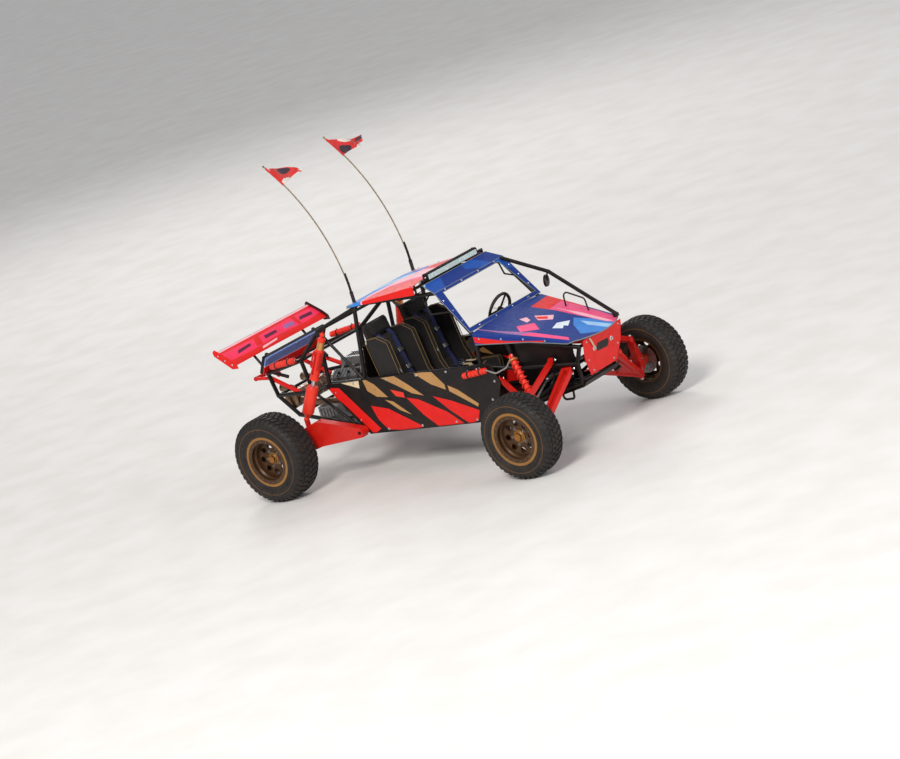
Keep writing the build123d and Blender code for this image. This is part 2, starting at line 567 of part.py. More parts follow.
RES_R = 30.0
CLAMP_R = 9.0
res_y = BODY_HALF + SHEET + RES_R + TOUCH
FRONT_RES = ((760.0, res_y, 826.0), (1030.0, res_y, 852.0))
REAR_RES = ((-1560.0, 434.0, 1085.0), (-1210.0, 478.0, 1130.0))
front_shocks, rear_shocks = [], []
for s, _ in LEFT_RIGHT:
    front_shocks.append(shock(side(SHOCK_TOP_F, s), side(SHOCK_LOW_F, s), 27, 38, 0.42))
    rear_shocks.append(shock(side(SHOCK_TOP_R, s), side(SHOCK_LOW_R, s), 33, 46, 0.40))
reservoirs = []
for s, _ in LEFT_RIGHT:
    reservoirs.append(rod(side(FRONT_RES[0], s), side(FRONT_RES[1], s), RES_R))
    can = [rod(side(REAR_RES[0], s), side(REAR_RES[1], s), RES_R)]
    for t in (0.25, 0.75):
        on_can = side(REAR_RES[0], s) + (side(REAR_RES[1], s) - side(REAR_RES[0], s)) * t
        on_tube = side(CAGE_END, s) + (side(CAGE_DOWN, s) - side(CAGE_END, s)) * (0.25 + 0.70 * t)
        can.append(rod(on_can, on_tube, CLAMP_R))
    reservoirs.append(fuse(can))

HOSE_R = 7.0
HOSE_PATH = ((1034, res_y, 852), (1120, 546, 812), (1215, 500, 840), (1275, 478, 925))

# Brackets of the shocks on the frame and on the arms
tower = []
for s, _ in LEFT_RIGHT:
    top = side(SHOCK_TOP_F, s)
    tower.append(rod((top.X, s * 404, top.Z), (top.X, top.Y, top.Z), 10))
nodes["frame_nose"] = cut(fuse([nodes["frame_nose"], *tower]), *nose_tool)
posts = []
for s, _ in LEFT_RIGHT:
    top = side(SHOCK_TOP_R, s)
    posts.append(rod((top.X, s * 488, 1412), (top.X, top.Y, top.Z), 10))
rear = fuse([rear, *posts])
rear = cut(rear, nodes["frame_floor"], nodes["frame_main_hoop"], nodes["frame_sides"], nodes["frame_roof"])
nodes["frame_rear"] = rear


def shock_foot(foot, depth, thick):
    """The lug under a shock's lower eye and the pin through the eye."""
    lug = beam(foot, foot - Vector(0, 0, depth), 54, thick, up=(1, 0, 0))
    reach = Vector(SHOCK_PIN_HALF, 0, 0)
    return [lug, rod(foot - reach, foot + reach, SHOCK_PIN_R)]


low_arms, rear_arms = [], []
for i, (s, _) in enumerate(LEFT_RIGHT):
    foot = side(SHOCK_LOW_F, s)
    low_arms.append(fuse([lower[i], *shock_foot(foot, 60, 12)]))
    foot = side(SHOCK_LOW_R, s)
    rear_arms.append(fuse([trailing[i], *shock_foot(foot, 70, 14)]))
nodes["front_lower_arms"] = group(low_arms)
nodes["trailing_arms"] = group(rear_arms)
front_coils = [cut(x, nodes["frame_nose"], arm) for x, arm in zip(front_shocks, low_arms)]
rear_coils = [cut(x, nodes["frame_rear"], arm) for x, arm in zip(rear_shocks, rear_arms)]
nodes["coilovers"] = group(front_coils + rear_coils)
cans = [biggest(cut(x, nodes["frame_rear"])) for x in reservoirs]
for i, (s, _) in enumerate(LEFT_RIGHT):
    hose = bent([side(p, s) for p in HOSE_PATH], 40, HOSE_R)
    with_hose = fuse([cans[2 * i], hose])
    cans[2 * i] = biggest(cut(with_hose, front_shocks[i], nodes["frame_nose"], nodes["front_upper_arms"]))
nodes["shock_reservoirs"] = group(cans)

# Body sheets
z_pan = Z_FLOOR - TUBE_R - WELD - TOUCH
PAN_HALF = 515.0
pan = Polyline((FLOOR_REAR[0], -PAN_HALF), (FLOOR_FRONT[0], -PAN_HALF), (FLOOR_FRONT[0], PAN_HALF),
               (FLOOR_REAR[0], PAN_HALF), close=True)
nodes["belly_pan"] = Pos(0, 0, z_pan - SHEET) * extrude(make_face(pan), SHEET)
SIDE_OUTLINE = ((-890, 884), (-752, 667), (-536, 388), (772, 388), (1040, 560), (1120, 720), (1075, 884),
                (400, 901))
panels = [slab(SIDE_OUTLINE, BODY_HALF, BODY_HALF + SHEET), slab(SIDE_OUTLINE, -BODY_HALF - SHEET, -BODY_HALF)]
panel_tools = [nodes[k] for k in ("frame_nose", "frame_rear", "trailing_arms", "front_upper_arms")]
nodes["side_panels"] = group([biggest(cut(x, *panel_tools)) for x in panels])

pan_end = FLOOR_FRONT[0] + TOUCH
pan_outline = [(pan_end, z_pan - SHEET), (1225, 423), (1776, 518), (1816, 561), (1812, 566), (1771, 523),
               (1224, 427), (pan_end, z_pan)]
nose_plan = Polyline((pan_end, -PAN_HALF, 0), (1230, -350, 0), (1820, -246, 0), (1820, 246, 0), (1230, 350, 0),
                     (pan_end, PAN_HALF, 0), close=True)
nodes["nose_pan"] = extrude(make_face(nose_plan), 1200) & slab(pan_outline, -600, 600)


def hood_section(x, half, z, crown, skirt):
    """Crowned top edge to edge, folded down at the sides, SHEET thick."""
    inner, under, hem = half - SHEET, z - SHEET, z - skirt
    top = ThreePointArc((x, -half, z), (x, 0, z + crown), (x, half, z))
    low = ThreePointArc((x, inner, under), (x, 0, under + crown), (x, -inner, under))
    left = Polyline((x, half, z), (x, half, hem), (x, inner, hem), (x, inner, under))
    right = Polyline((x, -inner, under), (x, -inner, hem), (x, -half, hem), (x, -half, z))
    return make_face([top, left, low, right])


HOOD_REAR_X = 962.0
HOOD_REAR_Z = 1186.0
LIP_SIDE_X = 1908.0
# Ends of a nose side sheet: x, half width and z of its low and high edges
NOSE_SKIN = ((1252, 353, 797, 380, 1050), (1768, 226, 738, 270, 905))
NOSE_WALL = ((305, 470), (383, 800), (398, 1045))
NOSE_WALL_X = 1203.0
SKIN_CLIPS = ((1410, 344, 1002, 388, 1017), (1650, 294, 936, 337, 950))
SKIN_T = 3.0
CLIP_R = 6.0
hood = loft([hood_section(HOOD_REAR_X, 521, HOOD_REAR_Z, 18, 106), hood_section(1462, 412, 1066, 34, 52),
             hood_section(HALF_LENGTH, HOOD_HALF, HOOD_LIP_Z, 14, 16)], ruled=True)
lip = ThreePointArc((LIP_SIDE_X, -285, 0), (HALF_LENGTH, 0, 0), (LIP_SIDE_X, 285, 0))
half_plan = [(LIP_SIDE_X, 285, 0), (1878, 322, 0), (1820, 352, 0), (1700, 600, 0), (800, 600, 0)]
corners = Polyline(*half_plan, *[(x, -y, 0) for x, y, _ in reversed(half_plan)])
hood = hood & extrude(make_face([lip, corners]), 1400)
nodes["hood"] = cut(hood, nodes["frame_nose"], nodes["frame_roof"], nodes["frame_sides"])

# Black sheets inside the nose frame: one each side and one across before the pedals
skins = []
for s, _ in LEFT_RIGHT:
    ends = []
    for x, y_low, z_low, y_high, z_high in NOSE_SKIN:
        edge = [(y_low, z_low), (y_low - SKIN_T, z_low), (y_high - SKIN_T, z_high), (y_high, z_high)]
        ends.append(make_face(Polyline(*[(x, s * y, z) for y, z in edge], close=True)))
    skin = [loft(ends, ruled=True)]
    skin += [rod((x, s * y0, z0), (x, s * y1, z1), CLIP_R) for x, y0, z0, y1, z1 in SKIN_CLIPS]
    skins.append(biggest(cut(fuse(skin), nodes["frame_nose"])))
wall = Polyline(*[(0, y, z) for y, z in NOSE_WALL], *[(0, -y, z) for y, z in reversed(NOSE_WALL)], close=True)
wall = Pos(NOSE_WALL_X, 0, 0) * extrude(make_face(wall), SHEET, dir=(1, 0, 0))
wall_clips = [rod((1205, s * 385, 1030), (1212, s * 433, 1075), CLIP_R) for s in (1, -1)]
wall = fuse([wall - rod(column_low, joint_at, 16), *wall_clips])
skins.append(biggest(cut(wall, nodes["frame_nose"])))
nodes["nose_panels"] = group(skins)

# Ring of sheet around the open windshield
across = Plane(origin=(SCREEN_TOP[0], 0, SCREEN_TOP[1]), x_dir=(0, 1, 0),
               z_dir=Vector(SCREEN_TOP[1] - SCREEN_LOW[1], 0, SCREEN_LOW[0] - SCREEN_TOP[0]))
drop = SCREEN_RISE
down = -1 if across.y_dir.Z > 0 else 1
LOWER_LEDGE = 40.0
SCREEN_OUT_LOW = 521.0
ring_end = down * (drop + LOWER_LEDGE)
outer = Polyline((-SCREEN_OUT, 0), (-SCREEN_OUT_LOW, ring_end), (SCREEN_OUT_LOW, ring_end), (SCREEN_OUT, 0),
                 close=True)
opening = Polyline((-SCREEN_HALF_TOP, down * SCREEN_STRIP), (-SCREEN_HALF_LOW, down * drop),
                   (SCREEN_HALF_LOW, down * drop), (SCREEN_HALF_TOP, down * SCREEN_STRIP), close=True)
ring = extrude(across * (make_face(outer) - make_face(opening)), SHEET)
lift = across.z_dir * SHEET
lifted = [(SCREEN_TOP[0] + lift.X, SCREEN_TOP[1] + lift.Z), (VISOR_TOP[0] + 2, VISOR_TOP[1] + SHEET)]
visor = slab([VISOR_TOP, SCREEN_TOP, *lifted], -SCREEN_OUT, SCREEN_OUT)
half_visor = [(700, SCREEN_OUT), (SCREEN_TOP[0], SCREEN_OUT), (VISOR_TOP[0], VISOR_HALF), (500, VISOR_HALF)]
other_half = [(x, -y) for x, y in reversed(half_visor[1:])]
visor_plan = Polyline((700, -SCREEN_OUT), *half_visor, *other_half, close=True)
header = visor & extrude(make_face(visor_plan), 2000)
screen_tools = [nodes[k] for k in ("frame_roof", "frame_sides", "frame_nose", "hood")]
nodes["windshield_surround"] = cut(fuse([ring, header]), *screen_tools)

# Roof sheet, low behind and raised towards the lamp bar
roof_z = ROOF_REAR[2] + TUBE_R + TOUCH
roof_rear = hood_section(ROOF_ENDS[0], ROOF_HALF, roof_z - ROOF_DROP, 18, 8)
roof_front = hood_section(ROOF_ENDS[1], ROOF_HALF, 1662, 34, 78)
roof_tools = [nodes[k] for k in ("frame_roof", "frame_main_hoop", "frame_rear", "windshield_surround")]
nodes["roof_panel"] = cut(loft([roof_rear, roof_front], ruled=True), *roof_tools)

# Lamp bar on two end brackets that stand on the roof rails
BAR_HALF = 360.0
BAR_SECTION = ((480, 1664), (522, 1660), (532, 1668), (532, 1712), (522, 1722), (484, 1722), (474, 1712),
               (474, 1672))
BAR_FOOT_X = (490.0, 518.0)
BAR_FOOT_TOP = 1684.0
BAR_FOOT_OUT = 452.0
feet = []
for s, _ in LEFT_RIGHT:
    ends = sorted((s * (BAR_HALF - 4), s * BAR_FOOT_OUT))
    feet.append(block((BAR_FOOT_X[0], ends[0], 1668), (BAR_FOOT_X[1], ends[1], BAR_FOOT_TOP)))
    ends = sorted((s * (BAR_FOOT_OUT - 10), s * BAR_FOOT_OUT))
    feet.append(block((BAR_FOOT_X[0], ends[0], 1566), (BAR_FOOT_X[1], ends[1], BAR_FOOT_TOP)))
bar = fuse([slab(BAR_SECTION, -BAR_HALF, BAR_HALF), *feet])
nodes["light_bar"] = biggest(cut(bar, nodes["roof_panel"], nodes["windshield_surround"], nodes["frame_roof"]))

# Dash and firewall
DASH_HALF = 470.0
DASH_SECTION = ((846, 1010), (900, 1010), (936, 1120), (936, 1132), (868, 1132), (842, 1090))
dash_tools = [nodes[k] for k in ("frame_roof", "steering_column", "frame_sides")]
nodes["dash"] = cut(slab(DASH_SECTION, -DASH_HALF, DASH_HALF), *dash_tools)
FIRE_HALF = 478.0
FIRE_Z = (430.0, 1180.0)
lean = (HOOP_TOP[0] - FLOOR_REAR[0]) / (HOOP_TOP[2] - FLOOR_REAR[2])
before_hoop = (TUBE_R + TOUCH) * math.hypot(1, lean)
fire = []
for z in FIRE_Z:
    fire.append((FLOOR_REAR[0] + (z - Z_FLOOR) * lean + before_hoop, z))
fire += [(x + SHEET, z) for x, z in reversed(fire)]
fire = slab(fire, -FIRE_HALF, FIRE_HALF)
nodes["firewall"] = cut(fire, nodes["frame_main_hoop"], nodes["frame_floor"], nodes["frame_sides"])

# Seats: base, back and side wings
SEAT_Y = 270.0
SEAT_HALF = 203.0
SEAT_WING = 45.0  # width of a side wing
SEAT_INSET = 30.0
base = [(-190, 480), (330, 520), (352, 600), (330, 640), (-60, 596), (-150, 800), (-262, 1330), (-300, 1372),
        (-345, 1352), (-340, 1270), (-250, 760), (-230, 520)]
wing = [(-215, 520), (330, 530), (340, 690), (40, 680), (-20, 820), (-70, 1180), (-180, 1240), (-322, 1225),
        (-262, 860), (-240, 620)]
seats = []
for s, _ in LEFT_RIGHT:
    y = s * SEAT_Y
    y0, y1 = y - SEAT_HALF, y + SEAT_HALF
    seats.append(fuse([slab(base, y0 + SEAT_INSET, y1 - SEAT_INSET), slab(wing, y0, y0 + SEAT_WING),
                       slab(wing, y1 - SEAT_WING, y1)]))
nodes["seats"] = group(seats)
mounts = []
for s, _ in LEFT_RIGHT:
    for x in (-150, 250):
        z_top = 480 + (x - 15 + 190) * 40 / 520 - TOUCH
        mounts.append(block((x - 15, s * SEAT_Y - 160, z_pan + TOUCH), (x + 15, s * SEAT_Y + 160, z_top)))
nodes["seat_mounts"] = group(mounts)

# Engine, gearbox and exhaust
ENGINE_REAR = -1090.0
HEAD_X = -870.0
HEAD_TILT = 30.0
PULLEYS = ((0, 560, 76), (-130, 690, 48), (130, 690, 48), (0, 780, 36))  # y, z and radius
core = [block((ENGINE_REAR, -190, 470), (-650, 190, 760)), block((-1050, -130, 400), (-700, 130, 480))]
for s, _ in LEFT_RIGHT:
    head = Pos(HEAD_X, s * 165, 800) * Rot(-s * HEAD_TILT, 0, 0) * Box(400, 150, 150)
    cover = Pos(HEAD_X, s * 205, 868) * Rot(-s * HEAD_TILT, 0, 0) * Box(370, 110, 60)
    core += [head, cover, rod((HEAD_X, s * 180, 540), side(TAIL_LOW_MID, s), 15)]
core += [block((-1030, -95, 800), (-700, 95, 985)), along_x(0, 900, 48, -700, -600)]
for y, z, r in PULLEYS:
    core.append(along_x(y, z, r, -660, -624))
nodes["engine"] = cut(fuse(core), nodes["frame_rear"], nodes["firewall"])
gear_stay = rod((-1470, 0, TAIL_LOW_END[2]), (TAIL_LOW_END[0], 0, TAIL_LOW_END[2]), 16)
gear = [along_x(0, 540, 180, -1150, ENGINE_REAR - TOUCH), gear_stay,
        block((-1480, -105, 310), (-1140, 105, 560)), along_y(X_REAR, TYRE_R_REAR, 66, -GEAR_SIDE, GEAR_SIDE)]
bores = [along_y(X_REAR, TYRE_R_REAR, STUB_R + RUN, s * (GEAR_SIDE - 40), s * 190) for s in (1, -1)]
nodes["gearbox"] = cut(fuse(gear), *bores, nodes["engine"], nodes["frame_rear"])
pipes = []
for s, _ in LEFT_RIGHT:
    for x in (-990, -870, -750):
        pipes.append(rod((x, s * 215, 740), (x - 20, s * 316, 668), 18))
    pipes.append(bent([(-770, s * 320, 660), (-1250, s * 320, 680), (-1640, s * 190, 700)], 120, 28))
pipes.append(along_y(-1610, 700, 80, -255, 255))
nodes["exhaust"] = cut(fuse(pipes), nodes["engine"], nodes["frame_rear"], nodes["gearbox"])

# Tail: radiator deck, wing, bumper
DECK_HALF = 440.0
DECK_SECTION = ((-1680, 1020), (-1588, 1170), (-1626, 1194), (-1718, 1044))
nodes["tail_deck"] = cut(slab(DECK_SECTION, -DECK_HALF, DECK_HALF), nodes["frame_rear"])
WING_HALF = 668.0
wing_low = (-1765.0, 1200.0)
wing_high = (-1963.0, 1335.0)
END_HALF_T = 6.0
END_OUTLINE = ((-1735, 1178), (-1745, 1214), (-1965, 1368), (-HALF_LENGTH, 1352), (-1978, 1318), (-1800, 1178))
wing_section = [wing_low, (-1775, 1214), (-1875, 1289), (wing_high[0] + 4, wing_high[1] + 8), wing_high,
                (-1868, 1260)]
blade = slab(wing_section, -WING_HALF + END_HALF_T, WING_HALF - END_HALF_T)
ends = [slab(END_OUTLINE, s * WING_HALF - END_HALF_T, s * WING_HALF + END_HALF_T) for s in (1, -1)]
nodes["rear_wing"] = fuse([blade, *ends])
STRUT_Y = 350.0
struts = []
for s, _ in LEFT_RIGHT:
    y = s * STRUT_Y
    struts += [rod((-1690, y, 1000), (-1858, y, 1262), 12), rod((-1690, y, 1080), (-1800, y, 1222), 9)]
    struts.append(block((-1880, y - 20, 1225), (-1790, y + 20, 1262)))
strut_tools = [nodes[k] for k in ("rear_wing", "frame_rear", "tail_deck")]
nodes["wing_struts"] = group([biggest(cut(fuse(x), *strut_tools)) for x in (struts[:3], struts[3:])])
BUMPER_R = 20.0
BUMPER_END = (-1932.0, 300.0, 954.0)
BUMPER_MID = (-1720.0, 322.0, 951.0)
TOW_EYE_Z = 892.0
TOW_EYE_HALF_T = 8.0
bumper = []
for s, _ in LEFT_RIGHT:
    end, mid = side(BUMPER_END, s), side(BUMPER_MID, s)
    bumper += [rod((-1582, end.Y, 755), end, BUMPER_R), rod((-1380, s * 352, 790), mid, BUMPER_R)]
    bumper += [ball(end, BUMPER_R + WELD), rod(mid, end, 16), ball(mid, BUMPER_R + WELD)]
bumper.append(rod(side(BUMPER_END, 1), side(BUMPER_END, -1), BUMPER_R))
EYE_OUTLINE = ((-1956, 880), (-1908, 880), (-1918, 950), (-1946, 950))
eye_round = along_y(BUMPER_END[0], TOW_EYE_Z, 28, -TOW_EYE_HALF_T, TOW_EYE_HALF_T)
eye_plate = slab(EYE_OUTLINE, -TOW_EYE_HALF_T, TOW_EYE_HALF_T).fuse(eye_round)
bumper.append(eye_plate - along_y(BUMPER_END[0], TOW_EYE_Z, TOW_EYE_R, -20, 20))
nodes["rear_bumper"] = cut(fuse(bumper), nodes["frame_rear"], nodes["exhaust"])

# Red plate under the hood lip, tow loop
PLATE_HALF = ((280, 960), (262, 760), (190, 600))
plate = slab([(1936, 950), (1940, 950), (1842, 600), (1838, 600)], -280, 280)
plate = plate & slab_front([*PLATE_HALF, *[(-y, z) for y, z in reversed(PLATE_HALF)]], 1700, 2000)
nodes["front_plate"] = biggest(cut(plate, nodes["hood"], nodes["frame_nose"], nodes["belly_pan"]))
loop = bent([(1298, 0, 480), (1310, 0, 350), (1420, 0, 350), (1442, 0, 510)], 26, 10)
nodes["tow_loop"] = biggest(cut(loop, nodes["nose_pan"], nodes["frame_nose"]))

# Bar before the driver, round mirror, hand loops
bar_top = (690.0, 462.0, 1568.0)
bar_mid = (1188.0, 430.0, 1398.0)
bar_end = (1892.0, 292.0, 984.0)
BAR_R = 17.0
bar_tubes = run([Vector(bar_top), Vector(bar_mid), Vector(bar_end)], BAR_R)
bar = fuse([*bar_tubes, upright((bar_end[0], bar_end[1], 0), 28, 958, 986)])
nodes["driver_bar"] = biggest(cut(bar, nodes["frame_roof"], nodes["windshield_surround"], nodes["hood"]))
MIRROR_R = 52.0
MIRROR_T = 18.0
MIRROR_AT = (1150.0, 430.0, 1318.0)
mirror = [Solid.make_cylinder(MIRROR_R, MIRROR_T, Plane(origin=MIRROR_AT, z_dir=(-0.94, -0.3, 0.1))),
          rod(MIRROR_AT, (1172, 431, 1400), 7)]
nodes["mirror"] = cut(fuse(mirror), nodes["driver_bar"])
loops = [bent([(1375, 300, 1060), (1385, 300, 1240), (1600, 300, 1150), (1610, 300, 1000)], 40, 7)]
for s in (-1, 1):
    loops.append(bent([(560, s * 444, 1556), (572, s * 540, 1510), (600, s * 540, 1405),
                       (behind_screen(1390, TUBE_R), s * 476, 1390)], 12, 8))
loop_tools = [nodes[k] for k in ("hood", "frame_nose", "frame_roof", "windshield_surround", "driver_bar")]
nodes["hand_loops"] = group([biggest(cut(x, *loop_tools)) for x in loops])

# Whips on the main hoop with their flags
WHIP_R = 6.0
WHIP_BEND = 1832.0
WHIP_AT = (-330.0, 430.0, 1600.0)
WHIP_ANGLE = 46.0
FLAG_ANGLES = (38.0, 45.0)
FLAG_REACH = Vector(330, 0, 120)


def whip_point(angle, s):
    a = math.radians(angle)
    back, up = WHIP_BEND * (1 - math.cos(a)), WHIP_BEND * math.sin(a)
    return Vector(WHIP_AT[0] - back, s * WHIP_AT[1], WHIP_AT[2] + up)


whips, flags = [], []
for s, _ in LEFT_RIGHT:
    path = ThreePointArc(whip_point(0, s), whip_point(WHIP_ANGLE / 2, s), whip_point(WHIP_ANGLE, s))
    start = whip_point(0, s)
    stem = sweep(Plane(origin=start, z_dir=(0, 0, 1)) * Circle(WHIP_R), path=path)
    base = upright(start, 16, WHIP_AT[2] - 30, WHIP_AT[2] + 70)
    whips.append(fuse([stem, base, ball(whip_point(WHIP_ANGLE, s), WHIP_R + 3)]))
    a, b = [whip_point(angle, s) for angle in FLAG_ANGLES]
    cloth = make_face(Polyline(a, b, a + FLAG_REACH, close=True))
    sleeve = rod(a, b, WHIP_R + 6)
    cloth = extrude(cloth, 2, both=True)
    flag = fuse([sleeve, cloth])
    room = sweep(Plane(origin=start, z_dir=(0, 0, 1)) * Circle(WHIP_R + 0.6), path=path)
    flags.append(flag - room)
whip_tools = [nodes[k] for k in ("roof_panel", "frame_main_hoop", "frame_rear", "frame_roof")]
nodes["whips"] = group([biggest(cut(x, *whip_tools)) for x in whips])
nodes["flags"] = group(flags)

# Pieces of one make that share a node
nodes["belly_pan"] = group([nodes["belly_pan"], nodes.pop("nose_pan")])
nodes["front_arms"] = group([nodes.pop("front_upper_arms"), nodes.pop("front_lower_arms")])
nodes["frame_rear"] = fuse([nodes["frame_rear"], nodes.pop("wing_struts")])

# The nose frame as its two side frames and the tubes between them
NOSE_SPLIT = 205.0
whole_nose = fuse([nodes.pop("frame_nose"), nodes.pop("tow_loop")])
for name, y_low, y_high in (("right", -800, -NOSE_SPLIT), ("left", NOSE_SPLIT, 800)):
    half = whole_nose & block((600, y_low, 200), (2100, y_high, 1300))
    nodes[f"frame_nose_{name}"] = group([half])
between_sides = whole_nose & block((600, -NOSE_SPLIT, 200), (2100, NOSE_SPLIT, 1300))
nodes["frame_nose_cross"] = group(between_sides.solids())
nodes["driver_bar"] = fuse([nodes["driver_bar"], nodes.pop("mirror")])

for name, shape in nodes.items():
    export_step(shape, f"parts/{name}.step")
    print(name, len(shape.solids()), round(shape.volume))
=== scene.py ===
"""Looks of the two-seat sand buggy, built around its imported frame."""
import json
import math
import random

import bmesh
import bpy
from mathutils import Matrix, Vector, geometry
from mathutils.bvhtree import BVHTree


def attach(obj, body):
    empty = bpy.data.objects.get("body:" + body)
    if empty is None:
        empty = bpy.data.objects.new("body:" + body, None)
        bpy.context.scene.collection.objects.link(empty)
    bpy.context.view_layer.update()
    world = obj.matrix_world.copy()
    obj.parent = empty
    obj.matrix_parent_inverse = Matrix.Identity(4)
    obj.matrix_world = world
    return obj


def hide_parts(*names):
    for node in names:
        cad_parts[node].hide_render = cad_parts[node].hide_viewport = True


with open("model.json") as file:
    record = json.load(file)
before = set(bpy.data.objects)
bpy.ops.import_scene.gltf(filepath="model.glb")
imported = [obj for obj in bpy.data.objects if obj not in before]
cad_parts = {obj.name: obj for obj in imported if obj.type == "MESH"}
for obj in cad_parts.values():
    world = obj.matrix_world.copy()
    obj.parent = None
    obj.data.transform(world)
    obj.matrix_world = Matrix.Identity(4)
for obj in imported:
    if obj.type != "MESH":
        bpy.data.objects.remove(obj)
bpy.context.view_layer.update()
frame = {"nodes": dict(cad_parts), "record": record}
rng = random.Random(7)
SIDES = ((1, "left"), (-1, "right"))

# Finishes


def rgb(r, g, b):
    """An sRGB colour as linear RGBA."""
    out = []
    for c in (r, g, b):
        c = c / 255
        out.append(c / 12.92 if c <= 0.04045 else ((c + 0.055) / 1.055) ** 2.4)
    return (*out, 1.0)


SAND = rgb(214, 170, 120)


def mm(*numbers):
    """Pairs of numbers given in thousandths."""
    return [(a / 1000, b / 1000) for a, b in zip(numbers[::2], numbers[1::2])]


class Finish:
    """A material of texture nodes in the car's own coordinates."""

    def __init__(self, name):
        self.mat = bpy.data.materials.new(name)
        self.mat.use_nodes = True
        self.tree = self.mat.node_tree
        self.shader = self.tree.nodes["Principled BSDF"]
        self.at = self.node("ShaderNodeTexCoord").outputs["Object"]

    def node(self, kind, **inputs):
        made = self.tree.nodes.new(kind)
        for key, value in inputs.items():
            self.put(made.inputs[key.replace("_", " ")], value)
        return made

    def put(self, socket, value):
        if isinstance(value, bpy.types.NodeSocket):
            self.tree.links.new(value, socket)
        else:
            socket.default_value = value

    def set(self, **inputs):
        for key, value in inputs.items():
            self.put(self.shader.inputs[key.replace("_", " ")], value)
        return self

    def noise(self, scale, low=0.35, high=0.65, detail=3.0, at=None):
        made = self.node("ShaderNodeTexNoise", Vector=at or self.at, Scale=scale, Detail=detail)
        return self.spread(made.outputs["Fac"], low, high)

    def spread(self, value, low, high, to_low=0.0, to_high=1.0):
        made = self.node("ShaderNodeMapRange", Value=value, From_Min=low, From_Max=high, To_Min=to_low,
                         To_Max=to_high)
        return made.outputs["Result"]

    def sum(self, a, b, operation="ADD"):
        made = self.node("ShaderNodeMath")
        made.operation = operation
        self.put(made.inputs[0], a)
        self.put(made.inputs[1], b)
        return made.outputs[0]

    def mix(self, share, a, b):
        made = self.tree.nodes.new("ShaderNodeMix")
        made.data_type = "RGBA"
        self.put(made.inputs[0], share)
        self.put(made.inputs[6], a)
        self.put(made.inputs[7], b)
        return made.outputs[2]

    def axis(self, name):
        return self.node("ShaderNodeSeparateXYZ", Vector=self.at).outputs[name]

    def bump(self, height, depth, strength=0.5):
        made = self.node("ShaderNodeBump", Height=height, Distance=depth, Strength=strength)
        self.put(self.shader.inputs["Normal"], made.outputs["Normal"])
        return self

    def dust(self, colour, amount):
        """Sand on the colour: a little all over and more of it low down."""
        low = self.spread(self.axis("Z"), 0.15, 1.1, 1.0, 0.35)
        share = self.sum(self.sum(self.noise(9, 0.3, 0.8), low, "MULTIPLY"), amount, "MULTIPLY")
        return self.mix(share, colour, SAND)


def darker(colour, share):
    """The colour with its brightness cut to a share."""
    return (*(c * share for c in colour[:3]), 1.0)


def paint(name, colour, rough=0.32, coat=0.4, dust=0.12, metal=0.0, grain=0.0):
    """Painted metal or grained plastic; its tone, gloss and dust vary a little."""
    made, colour = Finish(name), rgb(*colour)
    tint = made.mix(made.noise(14), darker(colour, 0.9), colour)
    rough_map = made.spread(made.noise(30, 0.2, 0.8), 0, 1, rough * 0.8, min(1.0, rough * 1.35))
    made.set(Base_Color=made.dust(tint, dust), Roughness=rough_map, Metallic=metal,
             Coat_Weight=coat, Coat_Roughness=0.3, Specular_IOR_Level=0.28)
    if grain:
        made.bump(made.noise(420, 0.2, 0.8), grain)
    return made.mat


def metal(name, colour, rough=0.3, vary=0.18, dust=0.06, brushed=False):
    """Bare metal with a fine grain, drawn out round the part where it is brushed."""
    made, colour = Finish(name), rgb(*colour)
    at = made.at
    if brushed:
        at = made.node("ShaderNodeMapping", Vector=at, Scale=(1.0, 14.0, 1.0)).outputs["Vector"]
    tint = made.mix(made.noise(40, at=at), darker(colour, 1 - vary), colour)
    rough_map = made.spread(made.noise(60, at=at), 0, 1, rough * 0.7, rough * 1.4)
    made.set(Base_Color=made.dust(tint, dust), Roughness=rough_map, Metallic=1.0)
    return made.bump(made.noise(160, 0.2, 0.8), 0.0006, 0.4).mat


def cloth(name, colour, thread, fuzz, dust=0.03):
    """Woven cloth: two crossing waves of threads."""
    made, colour = Finish(name), rgb(*colour)
    weave = made.node("ShaderNodeTexWave", Vector=made.at, Scale=thread / 6, Distortion=0.4)
    cross = made.node("ShaderNodeTexWave", Vector=made.at, Scale=thread / 6, Distortion=0.4)
    cross.bands_direction = "Z"
    height = made.sum(weave.outputs["Fac"], cross.outputs["Fac"], "MULTIPLY")
    share = made.spread(made.sum(height, made.noise(12)), 0, 2)
    tint = made.mix(share, darker(colour, 0.72), colour)
    made.set(Base_Color=made.dust(tint, dust), Roughness=0.88, Sheen_Weight=fuzz)
    return made.bump(height, 0.0006, 0.5).mat


def rubber(name, colour, dust):
    """Matte rubber with dust."""
    made, colour = Finish(name), rgb(*colour)
    tint = made.mix(made.noise(25), darker(colour, 0.7), colour)
    made.set(Base_Color=made.dust(tint, dust), Roughness=made.spread(made.noise(50), 0, 1, 0.55, 0.85))
    return made.bump(made.noise(260, 0.2, 0.8), 0.0008, 0.5).mat


def glow_lens(name, colour):
    """A clear lens with small facets."""
    made, colour = Finish(name), rgb(*colour)
    cell = made.node("ShaderNodeTexVoronoi", Vector=made.at, Scale=34.0).outputs["Distance"]
    tint = made.mix(made.spread(cell, 0.1, 0.6), colour, darker(colour, 0.72))
    made.set(Base_Color=tint, Roughness=0.12, Coat_Weight=0.8, IOR=1.45)
    return made.bump(cell, 0.002, 0.6).mat


